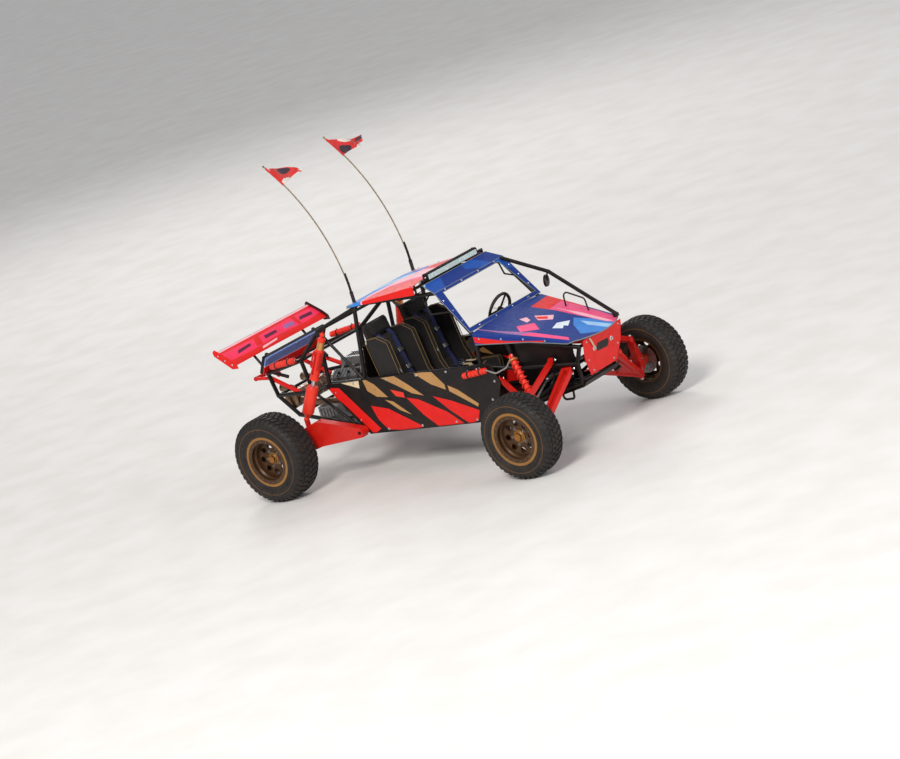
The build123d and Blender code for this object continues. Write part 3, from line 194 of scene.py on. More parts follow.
BLACK = paint("black_tube_paint", (9, 8, 11), 0.4, 0.08, 0.03)
PANEL = paint("black_panel_paint", (13, 8, 12), 0.42, 0.06, 0.03)
SATIN = paint("black_plastic_grain", (11, 10, 12), 0.6, 0.0, 0.03, grain=0.0006)
# The second of these blues is a painted highlight colour, used only on the windshield ring and visor.
BLUE, BLUE_PAINTED_HIGHLIGHT, BLUE_2, SKY, RED, PINK, PALE_PINK, LILAC, WHITE = (
    paint(f"{name}_paint", colour, 0.44, 0.05, 0.02) for name, colour in (
        ("deep_blue", (6, 48, 130)), ("blue_painted_highlight", (20, 78, 168)), ("light_blue", (56, 130, 212)),
        ("sky", (158, 198, 236)), ("red", (228, 22, 18)), ("pink", (244, 78, 132)),
        ("pale_pink", (248, 184, 196)), ("lilac", (158, 104, 162)), ("white", (220, 232, 238))))
GREY = paint("grey_edge_trim", (112, 120, 126), 0.4, 0.3)
CREAM = paint("cream_paint", (226, 208, 170), 0.3, 0.6, 0.05)
GOLD = paint("gold_paint", (192, 142, 82), 0.3, 0.6, 0.05, 0.3)
ARM = paint("red_arm_paint", (206, 18, 12), 0.36, 0.25, 0.05)
SPRING = paint("red_spring_paint", (234, 48, 30), 0.34, 0.25, 0.05)
TAN = paint("tan_anodised", (218, 150, 86), 0.3, 0.4, metal=0.6)
BRONZE = paint("bronze_rim", (158, 110, 50), 0.34, 0.4, 0.08, 0.55)
BAND = paint("dusty_sidewall_band", (92, 66, 44), 0.7, 0.0, 0.05)
# Dark bronze, darkened beyond the rim's own paint as painted shade inside the wheel.
SHADED_DARK_BRONZE = paint("dark_bronze_rim_with_painted_shade", (72, 46, 23), 0.42, 0.2, 0.05, 0.35)
MAGENTA = paint("dark_magenta_paint", (92, 6, 56), 0.4, 0.1, 0.02)
ROSE = paint("rose_paint", (250, 44, 92), 0.4, 0.1, 0.02)
BROWN = paint("brown_black_paint", (52, 22, 18), 0.4, 0.1, 0.03)
# A steel blue made lighter than the deck's own colour: painted light that offsets the shade the deck lies
# in.
LIGHTENED_BLUE_GREY = paint("blue_grey_with_painted_light", (122, 146, 214), 0.4, 0.1, 0.03)
BRIGHT = metal("bright_steel", (212, 212, 214), 0.22)
STEEL = metal("worn_steel", (150, 148, 146), 0.38, brushed=True)
CAST = metal("cast_alloy", (150, 150, 150), 0.48)
HEAT = metal("heated_pipe", (150, 120, 96), 0.34, vary=0.4)
BRASS = metal("gold_cap", (172, 116, 62))
GLASS = metal("mirror_face", (222, 226, 230), 0.05, dust=0.0)
TYRE = rubber("tyre_rubber", (17, 16, 17), 0.04)
BOOT = rubber("boot_rubber", (28, 27, 28), 0.1)
HOSE = cloth("braided_hose", (150, 150, 146), 1500, 0.1, 0.1)
# Black seat cloth, darkened beyond its own colour as painted shade in the cockpit.
SHADED_SEAT_CLOTH = cloth("seat_cloth_with_painted_shade", (20, 18, 20), 1100, 0.06)
SEAT_SIDE = cloth("seat_side_vinyl", (30, 27, 26), 2400, 0.05)
SEAT_TAN = cloth("seat_tan_cloth", (122, 96, 56), 1100, 0.1)
BELT = cloth("belt_webbing", (20, 34, 86), 1800, 0.1)
STRAP = cloth("cream_webbing", (217, 191, 156), 1800, 0.2, 0.1)
FLAG_RED = cloth("flag_red", (214, 46, 44), 2200, 0.2)
FLAG_WHITE = cloth("flag_white", (232, 222, 214), 2200, 0.2)
FLAG_DARK = cloth("flag_dark", (58, 36, 52), 2200, 0.2)
LENS = glow_lens("lamp_lens", (206, 226, 222))

# Building shapes from points and faces


def place(at, z, x=(1, 0, 0)):
    """A matrix whose Z looks along z, with X as near as it can be to x."""
    z = Vector(z).normalized()
    x = Vector(x)
    x = x - z * x.dot(z)
    if x.length < 1e-6:
        x = Vector((0, 1, 0)) - z * z.y
    x.normalize()
    rows = Matrix((x, z.cross(x), z)).transposed().to_4x4()
    return Matrix.Translation(Vector(at)) @ rows


def rounded(points, radius, steps=5):
    """The points as a line with arcs at its corners."""
    points = [Vector(p) for p in points]
    out = [points[0]]
    for a, p, b in zip(points, points[1:], points[2:]):
        u, v = (a - p).normalized(), (b - p).normalized()
        half = u.angle(v) / 2
        cut = min(radius / max(math.tan(half), 1e-3), 0.45 * (a - p).length, 0.45 * (b - p).length)
        for i in range(steps + 1):
            t = i / steps
            out.append((1 - t) ** 2 * (p + u * cut) + 2 * t * (1 - t) * p + t * t * (p + v * cut))
    return out + [points[-1]]


def circle(r, n, at=(0, 0), start=0.0):
    """n points round a circle."""
    turns = [start + 2 * math.pi * i / n for i in range(n)]
    return [(at[0] + r * math.cos(t), at[1] + r * math.sin(t)) for t in turns]


class Shape:
    """Vertices and faces, each face with the number of its finish."""

    def __init__(self):
        self.verts, self.faces, self.kinds = [], [], []

    def add(self, verts, faces, kind=0, mat=None):
        base = len(self.verts)
        self.verts += [mat @ Vector(v) if mat else Vector(v) for v in verts]
        self.faces += [tuple(base + i for i in f) for f in faces]
        self.kinds += [kind] * len(faces) if isinstance(kind, int) else list(kind)
        return self

    def rings(self, rings, kind=0, loop=False, caps=True, mat=None):
        """Rows of points joined into a skin; each row is a closed ring."""
        n = len(rings[0])
        faces = []
        last = len(rings) if loop else len(rings) - 1
        for i in range(last):
            j = (i + 1) % len(rings)
            faces += [(i * n + k, i * n + (k + 1) % n, j * n + (k + 1) % n, j * n + k) for k in range(n)]
        if caps and not loop:
            faces += [tuple(reversed(range(n))), tuple((len(rings) - 1) * n + k for k in range(n))]
        return self.add([p for ring in rings for p in ring], faces, kind, mat)

    def tube(self, path, r, kind=0, sides=12, loop=False, mat=None):
        """A round bar along a path; r is one radius or one for each point."""
        path = [Vector(p) for p in path]
        n = len(path)
        radii = r if isinstance(r, (list, tuple)) else [r] * n
        normal, rings = None, []
        for i, p in enumerate(path):
            a = path[i - 1] if (i or loop) else path[0]
            b = path[(i + 1) % n] if (i < n - 1 or loop) else path[-1]
            way = (b - a).normalized()
            if normal is None:
                normal = way.orthogonal().normalized()
            normal = (normal - way * normal.dot(way)).normalized()
            other = way.cross(normal)
            rings.append([p + (normal * c + other * s) * radii[i] for c, s in circle(1, sides)])
        return self.rings(rings, kind, loop, not loop, mat)

    def turned(self, profile, mat=None, kind=0, sides=40, closed=False):
        """(along, radius) pairs turned about local Z."""
        rings = [[(c * r, s * r, a) for c, s in circle(1, sides)] for a, r in profile]
        return self.rings(rings, kind, closed, not closed, mat)

    def band(self, z0, z1, r0, r1, mat, kind=0, sides=40):
        """A ring about local Z from z0 to z1 and from r0 out to r1."""
        return self.turned([(z0, r0), (z0, r1), (z1, r1), (z1, r0)], mat, kind, sides, closed=True)

    def hull(self, points, kind=0, mat=None):
        """The convex body round some points."""
        bm = bmesh.new()
        for p in points:
            bm.verts.new(p)
        bmesh.ops.convex_hull(bm, input=bm.verts)
        for v in [v for v in bm.verts if not v.link_faces]:
            bm.verts.remove(v)
        bmesh.ops.dissolve_limit(bm, angle_limit=0.01, verts=bm.verts, edges=bm.edges)
        bm.verts.index_update()
        self.add([v.co.copy() for v in bm.verts], [tuple(v.index for v in f.verts) for f in bm.faces],
                 kind, mat)
        bm.free()
        return self

    def block(self, lo, hi, bevel=0.002, kind=0, mat=None):
        """A box with chamfered edges."""
        points = []
        for sx in (0, 1):
            for sy in (0, 1):
                for sz in (0, 1):
                    corner = [(lo, hi)[s][i] for i, s in enumerate((sx, sy, sz))]
                    for axis in range(3):
                        p = [c + (bevel if s == 0 else -bevel) for c, s in zip(corner, (sx, sy, sz))]
                        p[axis] = corner[axis]
                        points.append(p)
        return self.hull(points, kind, mat)

    def prism(self, outline, to_point, lo, hi, bevel=0.002, kind=0):
        """A convex outline between two depths with chamfered rims; to_point(u, v, depth) is a place."""
        cu = sum(p[0] for p in outline) / len(outline)
        cv = sum(p[1] for p in outline) / len(outline)
        inner = []
        for u, v in outline:
            d = math.hypot(u - cu, v - cv) or 1.0
            inner.append((u + (cu - u) * bevel / d, v + (cv - v) * bevel / d))
        points = [to_point(u, v, lo) for u, v in inner] + [to_point(u, v, hi) for u, v in inner]
        points += [to_point(u, v, lo + bevel)
                   for u, v in outline] + [to_point(u, v, hi - bevel) for u, v in outline]
        return self.hull(points, kind)

    def bolt(self, at, way, r, kind=0, washer=True):
        """A hexagon head, on a washer if it has one, looking along way."""
        mat = place(at, way)
        if washer:
            self.turned([(0, r * 1.45), (r * 0.28, r * 1.45), (r * 0.28, r * 0.5)], mat, kind, 16)
        self.turned([(0, r), (r * 0.95, r), (r * 1.2, r * 0.84)], mat, kind, 6)
        return self

    def bolts(self, mat, r, z, count, size, kind, start=0.0, way=1, washer=False):
        """Bolts on a circle about local Z."""
        for u, v in circle(r, count, start=start):
            self.bolt(mat @ Vector((u, v, z)), mat.to_3x3() @ Vector((0, 0, way)), size, kind, washer)

    def ribs(self, x0, pitch, count, half, lo, hi, bevel, mat=None):
        """Equal blocks in a row along X, each from lo to hi in (y, z)."""
        for k in range(count):
            x = x0 + pitch * k
            self.block((x - half, *lo), (x + half, *hi), bevel, 0, mat)

    def skin(self, outline, to_point, depths, holes=(), fields=(), step=None, lines=(), kind=0):
        """A sheet cut to an outline in (u, v), with holes and fields of other finishes.

        to_point(u, v, depth) gives a place on one of its two faces, which lie at the two depths.
        fields are rows of a finish number and an outline, the last on top.
        """
        verts, edges, faces = [], [], []

        def ring(points):
            start = len(verts)
            turn = sum(a[0] * b[1] - b[0] * a[1] for a, b in zip(points, points[1:] + points[:1]))
            points = points if turn > 0 else points[::-1]
            verts.extend(Vector(p) for p in points)
            faces.append(list(range(start, start + len(points))))

        ring(outline)
        for hole in holes:
            ring(hole)
        for _, field in fields:
            ring(field)
        for line in lines:
            start = len(verts)
            verts.extend(Vector(p) for p in line)
            edges.extend((start + i, start + i + 1) for i in range(len(line) - 1))
        if step:
            u0, u1 = min(p[0] for p in outline), max(p[0] for p in outline)
            v0, v1 = min(p[1] for p in outline), max(p[1] for p in outline)
            nu, nv = max(1, round((u1 - u0) / step)), max(1, round((v1 - v0) / step))
            for i in range(1, nu):
                for j in range(1, nv):
                    verts.append(Vector((u0 + (u1 - u0) * (i + 0.13 * (j % 2)) / nu,
                                         v0 + (v1 - v0) * j / nv)))
        found = geometry.delaunay_2d_cdt(verts, edges, faces, 1, 1e-6, True)
        flat, tris, parts = found[0], found[2], found[5]
        keep, kinds = [], []
        for tri, ids in zip(tris, parts):
            if 0 not in ids or any(1 <= i <= len(holes) for i in ids):
                continue
            over = [i - 1 - len(holes) for i in ids if i > len(holes)]
            keep.append(tuple(tri))
            kinds.append(fields[max(over)][0] if over else kind)
        used = {}
        for tri in keep:
            for k in tri:
                used.setdefault(k, len(used))
        order = sorted(used, key=used.get)
        places = [Vector(to_point(*flat[k], depth)) for depth in depths for k in order]
        n = len(order)
        tris = [tuple(used[k] for k in tri) for tri in keep]
        count = {}
        for t, tri in enumerate(tris):
            for a, b in zip(tri, tri[1:] + tri[:1]):
                count[(a, b)] = t
        all_faces = tris + [tuple(k + n for k in reversed(tri)) for tri in tris]
        all_kinds = kinds * 2
        for (a, b), t in count.items():
            if (b, a) not in count:
                all_faces.append((b, a, a + n, b + n))
                all_kinds.append(kinds[t])
        return self.add(places, all_faces, all_kinds)


BODY_OF = {node: body for body, members in frame["record"]["behaviour"]["bodies"].items()
           for node in members}


def upright(u, v, y):
    """A point of an upright sheet that faces sideways."""
    return Vector((u, y, v))


def worked(mesh, *steps):
    """Runs editing steps on a mesh."""
    work = bmesh.new()
    work.from_mesh(mesh)
    for step in steps:
        step(work)
    work.to_mesh(mesh)
    work.free()


def welded(work):
    """Joins points that lie on each other."""
    bmesh.ops.remove_doubles(work, verts=work.verts, dist=1e-6)


def outward(work):
    """Turns every face outward."""
    bmesh.ops.recalc_face_normals(work, faces=work.faces)


def smooth(mesh, sharp):
    """Smooth sides, with edges kept where they turn by more than sharp degrees."""
    mesh.polygons.foreach_set("use_smooth", [True] * len(mesh.polygons))
    mesh.set_sharp_from_angle(angle=math.radians(sharp))


def publish(shape, name, node, finishes, stands_for=(), sharp=32):
    """Makes the mesh object, with its finishes, on the body that carries a node."""
    mesh = bpy.data.meshes.new(name)
    mesh.from_pydata([tuple(v) for v in shape.verts], [], shape.faces)
    for finish in finishes:
        mesh.materials.append(finish)
    mesh.polygons.foreach_set("material_index", shape.kinds)
    mesh.validate()
    worked(mesh, outward)
    smooth(mesh, sharp)
    obj = bpy.data.objects.new(name, mesh)
    bpy.context.scene.collection.objects.link(obj)
    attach(obj, BODY_OF[node])
    if stands_for:
        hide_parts(*stands_for)
    return obj


def dress(finish, *names):
    """Gives pieces that need no more shape their finish and smooth sides."""
    for name in names:
        mesh = frame["nodes"][name].data
        mesh.materials.clear()
        mesh.materials.append(finish)
        smooth(mesh, 30)


# Tyres and rims

X_FRONT, X_REAR, HALF_TRACK = 1.558, -1.322, 0.96
FRONT_R, REAR_R = 0.37, 0.397
KINGPIN_Y, RACK_X, RACK_Z = 0.79, 1.448, 0.64
BEAD_R, TREAD, LUGS = 0.192, 0.01, 44
# name, x, side, tyre radius and width, depth of the dish, end of the hub
WHEELS = [(f"front_{n}", X_FRONT, s, FRONT_R, 0.24, 0.02, 0.058) for s, n in SIDES]
WHEELS += [(f"rear_{n}", X_REAR, s, REAR_R, 0.29, 0.03, 0.07) for s, n in SIDES]


def tyre_section(radius, width):
    """Half of the tyre's outer line as (across, radius), from the tread's middle to the bead."""
    return [(0, radius), (width / 2 - 0.056, radius), (width / 2 - 0.024, radius - 0.009),
            (width / 2 - 0.005, radius - 0.034), (width / 2, (BEAD_R + radius) / 2 + 0.018),
            (width / 2 - 0.004, 0.254), (width / 2 - 0.0303, 0.211), (width / 2 - 0.0303, BEAD_R + 0.0003)]


def along(line, u):
    """The point a distance u along a line of (across, radius) points."""
    for (a0, r0), (a1, r1) in zip(line, line[1:]):
        step = math.hypot(a1 - a0, r1 - r0)
        if u <= step:
            t = u / step
            return a0 + (a1 - a0) * t, r0 + (r1 - r0) * t
        u -= step
    return line[-1]


def lug(shape, line, mat, u0, u1, t0, t1, skew):
    """A tread block from u0 to u1 across and t0 to t1 round, with chamfered edges."""
    steps = 3 if u1 - u0 > 0.03 else 2
    rows = []
    for back, drop in ((0.0, TREAD * 1.3), (0.0, 0.0022), (0.0022, 0.0)):
        row = []
        spin = back / 0.38
        for i in range(steps + 1):
            u = u0 + back + (u1 - u0 - 2 * back) * i / steps
            a, r = along(line, abs(u))
            row.append((a if u >= 0 else -a, r - drop, skew * i / steps))
        low = [(a, r, t0 + spin + k) for a, r, k in row]
        high = [(a, r, t1 - spin + k) for a, r, k in reversed(row)]
        rows.append([(r * math.cos(t), r * math.sin(t), a) for a, r, t in low + high])
    n = len(rows[0])
    verts = [p for row in rows for p in row]
    faces = [(j * n + k, j * n + (k + 1) % n, (j + 1) * n + (k + 1) % n, (j + 1) * n + k) for j in (0, 1)
             for k in range(n)]
    faces += [(2 * n + i, 2 * n + i + 1, 2 * n + n - 2 - i, 2 * n + n - 1 - i) for i in range(steps)]
    shape.add(verts, faces, 0, mat)


def make_tyre(name, x, s, radius, width):
    """A tyre: its body with ribs and bands on the sides, and rows of tread blocks."""
    shape = Shape()
    mat = place((x, s * HALF_TRACK, radius), (0, s, 0), (0, 0, 1))
    line = tyre_section(radius, width)
    carcass = [(a, r - (TREAD if r > radius - 0.04 else 0)) for a, r in line]
    side = carcass[3:]
    ribs = []
    for (a0, r0), (a1, r1) in zip(side, side[1:]):
        ribs += [(a0, r0), (a0 + (a1 - a0) * 0.4, r0 + (r1 - r0) * 0.4)]
    outer = carcass[:3] + ribs + [side[-1]]
    inner = [(width / 2 - 0.046, BEAD_R + 0.01), (width / 2 - 0.03, 0.262),
             (width / 2 - 0.03, radius - 0.06), (0, radius - 0.04)]
    half = outer + inner
    profile = half + [(-a, r) for a, r in reversed(half[1:-1])]
    shape.turned(profile, mat, 0, 96, closed=True)
    for r, kind in ((0.268, 0), (0.3 if x > 0 else 0.312, 1)):
        a = width / 2 + 0.0005
        for end in (1, -1):
            shape.turned([(end * (a - 0.004), r - 0.006), (end * (a + 0.0006), r - 0.003),
                          (end * (a + 0.0006), r + 0.003), (end * (a - 0.004), r + 0.006)], mat, kind, 96,
                          closed=True)
    pitch = 2 * math.pi / LUGS
    flat = width / 2 - 0.056
    rows = [(-0.017, 0.017, 0.0, 0.62, 0.0), (0.024, flat - 0.002, 0.5, 0.58, 0.05),
            (-flat + 0.002, -0.024, 0.5, 0.58, -0.05), (flat + 0.006, flat + 0.062, 0.05, 0.6, 0.03),
            (-flat - 0.062, -flat - 0.006, 0.05, 0.6, -0.03)]
    for k in range(LUGS):
        for u0, u1, shift, fill, skew in rows:
            start = (k + shift) * pitch
            lug(shape, line, mat, u0, u1, start, start + fill * pitch, skew)
    return publish(shape, f"tyre_{name}_tread", f"tyre_{name}", [TYRE, BAND],
                   (f"tyre_{name}",), 40)


def make_rim(name, x, s, radius, width, dish, hub_end):
    """A rim: barrel, lock ring, dished face with round windows, hub, cap and bolts."""
    shape = Shape()
    mat = place((x, s * HALF_TRACK, radius), (0, s, 0), (0, 0, 1))
    bead = width / 2 - 0.03
    barrel = [(bead + 0.009, 0.207), (bead, 0.207), (bead, BEAD_R), (bead - 0.03, 0.19),
              (bead - 0.045, 0.178), (-bead + 0.06, 0.178), (-bead + 0.045, 0.19), (-bead, BEAD_R),
              (-bead, 0.207), (-bead - 0.009, 0.207), (-bead - 0.009, 0.198), (-bead - 0.004, 0.185),
              (-bead + 0.042, 0.183), (-bead + 0.056, 0.171), (bead - 0.042, 0.171), (bead - 0.027, 0.184),
              (bead + 0.004, 0.186), (bead + 0.009, 0.192)]
    shape.turned(barrel, mat, 0, 72, closed=True)
    lock = bead + 0.0092
    inner = [(lock, 0.176), (lock + 0.006, 0.177), (lock + 0.0085, 0.181), (lock + 0.0085, 0.204),
             (lock + 0.0093, 0.213), (lock, 0.213)]
    shape.turned(inner, mat, 0, 72, closed=True)
    ring = [(lock, 0.213), (lock + 0.0095, 0.213), (lock + 0.01, 0.222), (lock + 0.0115, 0.232),
            (lock + 0.0095, 0.237), (lock + 0.005, 0.237), (lock, 0.225)]
    shape.turned(ring, mat, 1, 72, closed=True)
    shape.bolts(mat, 0.1925, lock + 0.0085, 20, 0.0048, 2)

    def bowl(r):
        return dish + 0.01 * min(1.0, max(0.0, (r - 0.095) / 0.05)) ** 2

    middles = circle(0.122, 8)
    windows = [circle(0.0265, 18, middle) for middle in middles]
    shape.skin(circle(0.172, 72), lambda u, v, depth: mat @ Vector((u, v, bowl(math.hypot(u, v)) + depth)),
               (0.01, 0.0), [circle(0.04, 36), *windows], step=0.016)
    for middle in middles:
        rim = [mat @ Vector((u, v, bowl(0.122) + 0.01)) for u, v in circle(0.0282, 20, middle)]
        shape.tube(rim, 0.0025, 0, 6, loop=True)
    back = -0.062 if x > 0 else -0.03
    hub = [(back, 0.03), (back + 0.002, 0.056), (dish - 0.002, 0.058),
           (dish + 0.014, 0.058), (dish + 0.016, 0.05), (hub_end - 0.012, 0.042), (hub_end - 0.01, 0.034)]
    shape.turned(hub, mat, 1, 40)
    cap = [(hub_end - 0.014, 0.036), (hub_end - 0.002, 0.036), (hub_end + 0.003, 0.033),
           (hub_end + 0.005, 0.02), (hub_end + 0.0055, 0.004)]
    shape.turned(cap, mat, 3, 32)
    shape.bolts(mat, 0.074, bowl(0.07) + 0.01, 5, 0.0095, 2, 0.3, washer=True)
    if x > 0:
        rotor = [circle(0.005, 8, circle(0.085 + 0.012 * (k % 3), 36)[k]) for k in range(36)]
        shape.skin(circle(0.128, 60), lambda u, v, depth: mat @ Vector((u, v, depth)), (-0.052, -0.062),
                   [circle(0.05, 36), *rotor], kind=2)
    # Finish 0 on barrel and dished face is the dark bronze that carries painted shade.
    return publish(shape, f"rim_{name}_wheel", f"rim_{name}", [SHADED_DARK_BRONZE, BRONZE, STEEL, BRASS],
                   (f"rim_{name}",))


for name, x, s, radius, width, dish, hub_end in WHEELS:
    make_tyre(name, x, s, radius, width)
    make_rim(name, x, s, radius, width, dish, hub_end)

# Hood, roof and side panels

# x, half width, height, crown and depth of the folded edge along each sheet
FOLD_R, SHEET = 0.016, 0.004
HOOD = ((0.962, 0.521, 1.186, 0.018, 0.106), (1.462, 0.412, 1.066, 0.034, 0.052),
        (1.983, 0.325, 0.924, 0.014, 0.016))


def between(table, x):
    """A row of the table at x, by straight lines between its rows."""
    x = min(max(x, table[0][0]), table[-1][0])
    for a, b in zip(table, table[1:]):
        if x <= b[0]:
            t = (x - a[0]) / (b[0] - a[0])
            return [p + (q - p) * t for p, q in zip(a[1:], b[1:])]
    return list(table[-1][1:])


def folded(table, x, t, depth):
    """A point of a crowned sheet whose sides fold down: x ahead and t across, measured round the fold."""
    half, z, crown, _ = between(table, x)
    r, sign = FOLD_R, 1 if t >= 0 else -1
    s = abs(t)
    flat = half - r
    if s <= flat:
        return Vector((x, t, z + crown * (1 - (s / half) ** 2) - depth))
    turn = (s - flat) / r
    edge = z + crown * (1 - (flat / half) ** 2)
    if turn < math.pi / 2:
        rr = r - depth
        return Vector((x, sign * (flat + rr * math.sin(turn)), edge - r + rr * math.cos(turn)))
    return Vector((x, sign * (half - depth), edge - r - (s - flat - r * math.pi / 2)))


def fold_lines(table):
    """Lines along the sheet at the start, middle and end of its folds."""
    return [[(row[0], sign * (row[1] - FOLD_R + k * FOLD_R * math.pi / 2)) for row in table]
            for sign in (1, -1) for k in (0.0, 0.5, 1.0)]


def side_edge(table, places):
    """The sheet's edge at these places along it, on the side where t is positive."""
    edges = [(x, between(table, x)) for x in places]
    return [(x, row[0] - FOLD_R + FOLD_R * math.pi / 2 + row[3] - FOLD_R) for x, row in edges]


def other_side(points):
    """The points mirrored across the car's middle."""
    return [(x, -t) for x, t in points]


def sheet(table, outline, fields, step, lines=(), kind=0):
    """A crowned sheet with folded sides, cut to an outline."""
    return Shape().skin(outline, lambda x, t, depth: folded(table, x, t, depth), (0.0, SHEET), (), fields,
                        step, fold_lines(table) + list(lines), kind)


lip = [(1.983 - 0.075 * (i / 12) ** 2, 0.285 * i / 12) for i in range(-12, 13)]
rear_line = [(0.966, 0.55 * i / 6) for i in range(-6, 7)]
hood_side = side_edge(HOOD, (0.966, 1.15, 1.3, 1.462, 1.6, 1.72, 1.82)) + [(1.878, 0.322)]
hood_outline = other_side(hood_side) + lip + hood_side[::-1]
HOOD_FIELDS = [
    (5, mm(966, -440, 1390, -405, 1829, -325, 1800, -284, 1455, -335, 1172, -400, 966, -425)),
    (4, mm(1390, -405, 1829, -325, 1800, -284, 1455, -335)),
    (1, mm(1614, 72, 2000, 250, 2000, -43, 1853, -184, 1700, -60)),
    (2, mm(1700, 45, 2000, 130, 2000, 45, 1800, 0)),
    (3, mm(1106, 163, 1041, 520, 1244, 450, 1490, 400, 1600, 220, 1377, 152)),
    (4, mm(1300, 160, 1244, 420, 1733, 330, 1985, 270, 1985, 181, 1886, 143, 1639, 140, 1377, 152)),
    (6, mm(1300, 215, 1620, 215, 1930, 190, 1886, 150, 1600, 158)),
    (4, mm(1263, -274, 1375, -166, 1492, -258, 1358, -360)),
    (6, mm(1195, -135, 1230, -75, 1308, -125, 1308, -177)),
    (6, mm(1277, -25, 1434, 44, 1488, -47, 1372, -107)),
    (3, mm(1300, -45, 1400, 0, 1440, -55, 1360, -85)),
    (7, mm(1580, -200, 1556, -95, 1600, -30, 1622, 6, 1672, -96, 1635, -110, 1661, -161)),
    (3, mm(970, -545, 1250, -505, 1600, -405, 1600, -425, 1250, -550, 970, -600)),
    (3, mm(970, 545, 1250, 505, 1600, 405, 1600, 425, 1250, 550, 970, 600)),
]
hood = sheet(HOOD, hood_outline, HOOD_FIELDS, 0.05, [rear_line])
publish(hood, "hood_skin", "hood", [BLUE, BLUE_2, SKY, RED, PINK, LILAC, PALE_PINK, WHITE],
        ("hood",), 40)
trim = Shape()
trim.tube([folded(HOOD, x, t, SHEET / 2) for x, t in hood_outline], 0.0055, 0, 8)
for s in (1, -1):
    for x in (1.02, 1.22, 1.42, 1.62):
        half, z, crown, skirt = between(HOOD, x)
        trim.bolt((x, s * (half + 0.0002), z - skirt * 0.45), (0, s, 0), 0.0062, 1)
publish(trim, "hood_edge_trim", "hood", [GREY, BRIGHT], ("hood",))

ROOF = ((-0.372, 0.505, 1.57, 0.018, 0.018), (0.45, 0.505, 1.662, 0.034, 0.078))
roof_side = side_edge(ROOF, (-0.372, -0.17, 0.04, 0.24, 0.45))
roof_outline = other_side(roof_side) + roof_side[::-1]
ROOF_FIELDS = [
    (7, mm(-380, -620, -335, -620, -335, 620, -380, 620)),
    (1, mm(-335, -620, -180, -620, -220, -350, -120, -50, 20, 250, -100, 400, -335, 300)),
    (2, mm(-300, -200, -160, -100, -20, 120, -120, 200, -300, 50)),
    (3, mm(-160, -620, -190, -420, -50, -260, 200, -240, 460, -300, 460, -620)),
    (4, mm(-190, -420, -50, -260, 200, -240, 460, -300, 460, -250, 180, -180, -80, -200)),
    (3, mm(20, 180, 460, -50, 460, 300, 200, 400, 0, 360)),
    (4, mm(100, 620, 0, 420, 200, 420, 460, 320, 460, 620)),
    (5, mm(300, 620, 360, 460, 460, 400, 460, 620)),
]
roof = sheet(ROOF, roof_outline, ROOF_FIELDS, 0.07, kind=6)
publish(roof, "roof_skin", "roof_panel", [BLUE, BLUE_2, SKY, RED, PINK, LILAC, PALE_PINK, GREY],
        ("roof_panel",), 40)
roof_trim = Shape()
roof_trim.tube([folded(ROOF, x, t, SHEET / 2) for x, t in roof_outline], 0.004, 0, 8, loop=True)
for s in (1, -1):
    for x in (-0.3, -0.05, 0.2, 0.4):
        half, z, crown, skirt = between(ROOF, x)
        roof_trim.bolt((x, s * (half - 0.03), z + crown * 0.11), (0, 0, 1), 0.006, 1)
publish(roof_trim, "roof_edge_and_bolts", "roof_panel", [BLACK, BRIGHT], ("roof_panel",))

SIDE_OUTLINE = mm(-890, 884, -752, 667, -536, 389, 772, 389, 1040, 560, 1120, 720, 1075, 884, 400, 901)
SIDE_FIELDS = [
    (1, mm(-810, 920, -480, 910, -500, 815)),
    (2, mm(-440, 913, -316, 836, -200, 705, -327, 721, -417, 783)),
    (2, mm(-250, 906, -63, 896, 74, 800, 218, 684, 92, 716, -64, 806)),
    (2, mm(166, 902, 385, 888, 490, 762, 488, 714, 341, 776)),
    (2, mm(-245, 684, -157, 662, 15, 522, -104, 574)),
    (2, mm(520, 752, 620, 702, 809, 556, 790, 530, 641, 625, 524, 697)),
    (3, mm(-847, 849, -742, 840, -394, 424, -489, 380, -711, 655, -863, 809)),
    (3, mm(-429, 644, -235, 599, 107, 403, -39, 380, -311, 410, -392, 515)),
    (3, mm(9, 682, 138, 656, 427, 514, 597, 380, 455, 380, 277, 396, 149, 510)),
    (3, mm(316, 668, 515, 609, 794, 496, 752, 411, 649, 380, 465, 524)),
    (4, mm(-148, 772, -6, 732, -8, 683, -104, 706)),
]
SIDE_IN, SIDE_OUT = 0.5208, 0.5248
for s, n in SIDES:
    panel = Shape()
    panel.skin(SIDE_OUTLINE, upright, (s * SIDE_OUT, s * SIDE_IN), fields=SIDE_FIELDS, step=0.12)
    publish(panel, f"side_panel_{n}_skin", "side_panels", [PANEL, CREAM, GOLD, RED, SPRING],
            ("side_panels",))
    fix = Shape()
    ring = [Vector((u, s * (SIDE_OUT - 0.001), v)) for u, v in SIDE_OUTLINE]
    fix.tube(ring, 0.0045, 0, 8, loop=True)
    for u, v in mm(-800, 800, -600, 520, -300, 415, 100, 415, 500, 415, 740, 415, 980, 580, 1060, 740, 900,
                   865, 550, 875, 200, 875, -150, 872, -550, 868):
        fix.bolt((u, s * SIDE_OUT, v), (0, s, 0), 0.0075, 1)
    publish(fix, f"side_panel_{n}_fixings", "side_panels", [BLACK, BRIGHT], ("side_panels",))

# Shocks and their reservoirs

AXLES = (("front", (1.285, 0.478, 0.93), (1.578, 0.662, 0.424)),
         ("rear", (-0.7, 0.56, 1.352), (-1.06, 0.712, 0.64)))


def helix(r, z0, z1, turns, steps=18):
    """A spring's line about local Z."""
    n = int(turns * steps)
    return [(r * math.cos(2 * math.pi * turns * i / n), r * math.sin(2 * math.pi * turns * i / n),
             z0 + (z1 - z0) * i / n) for i in range(n + 1)]


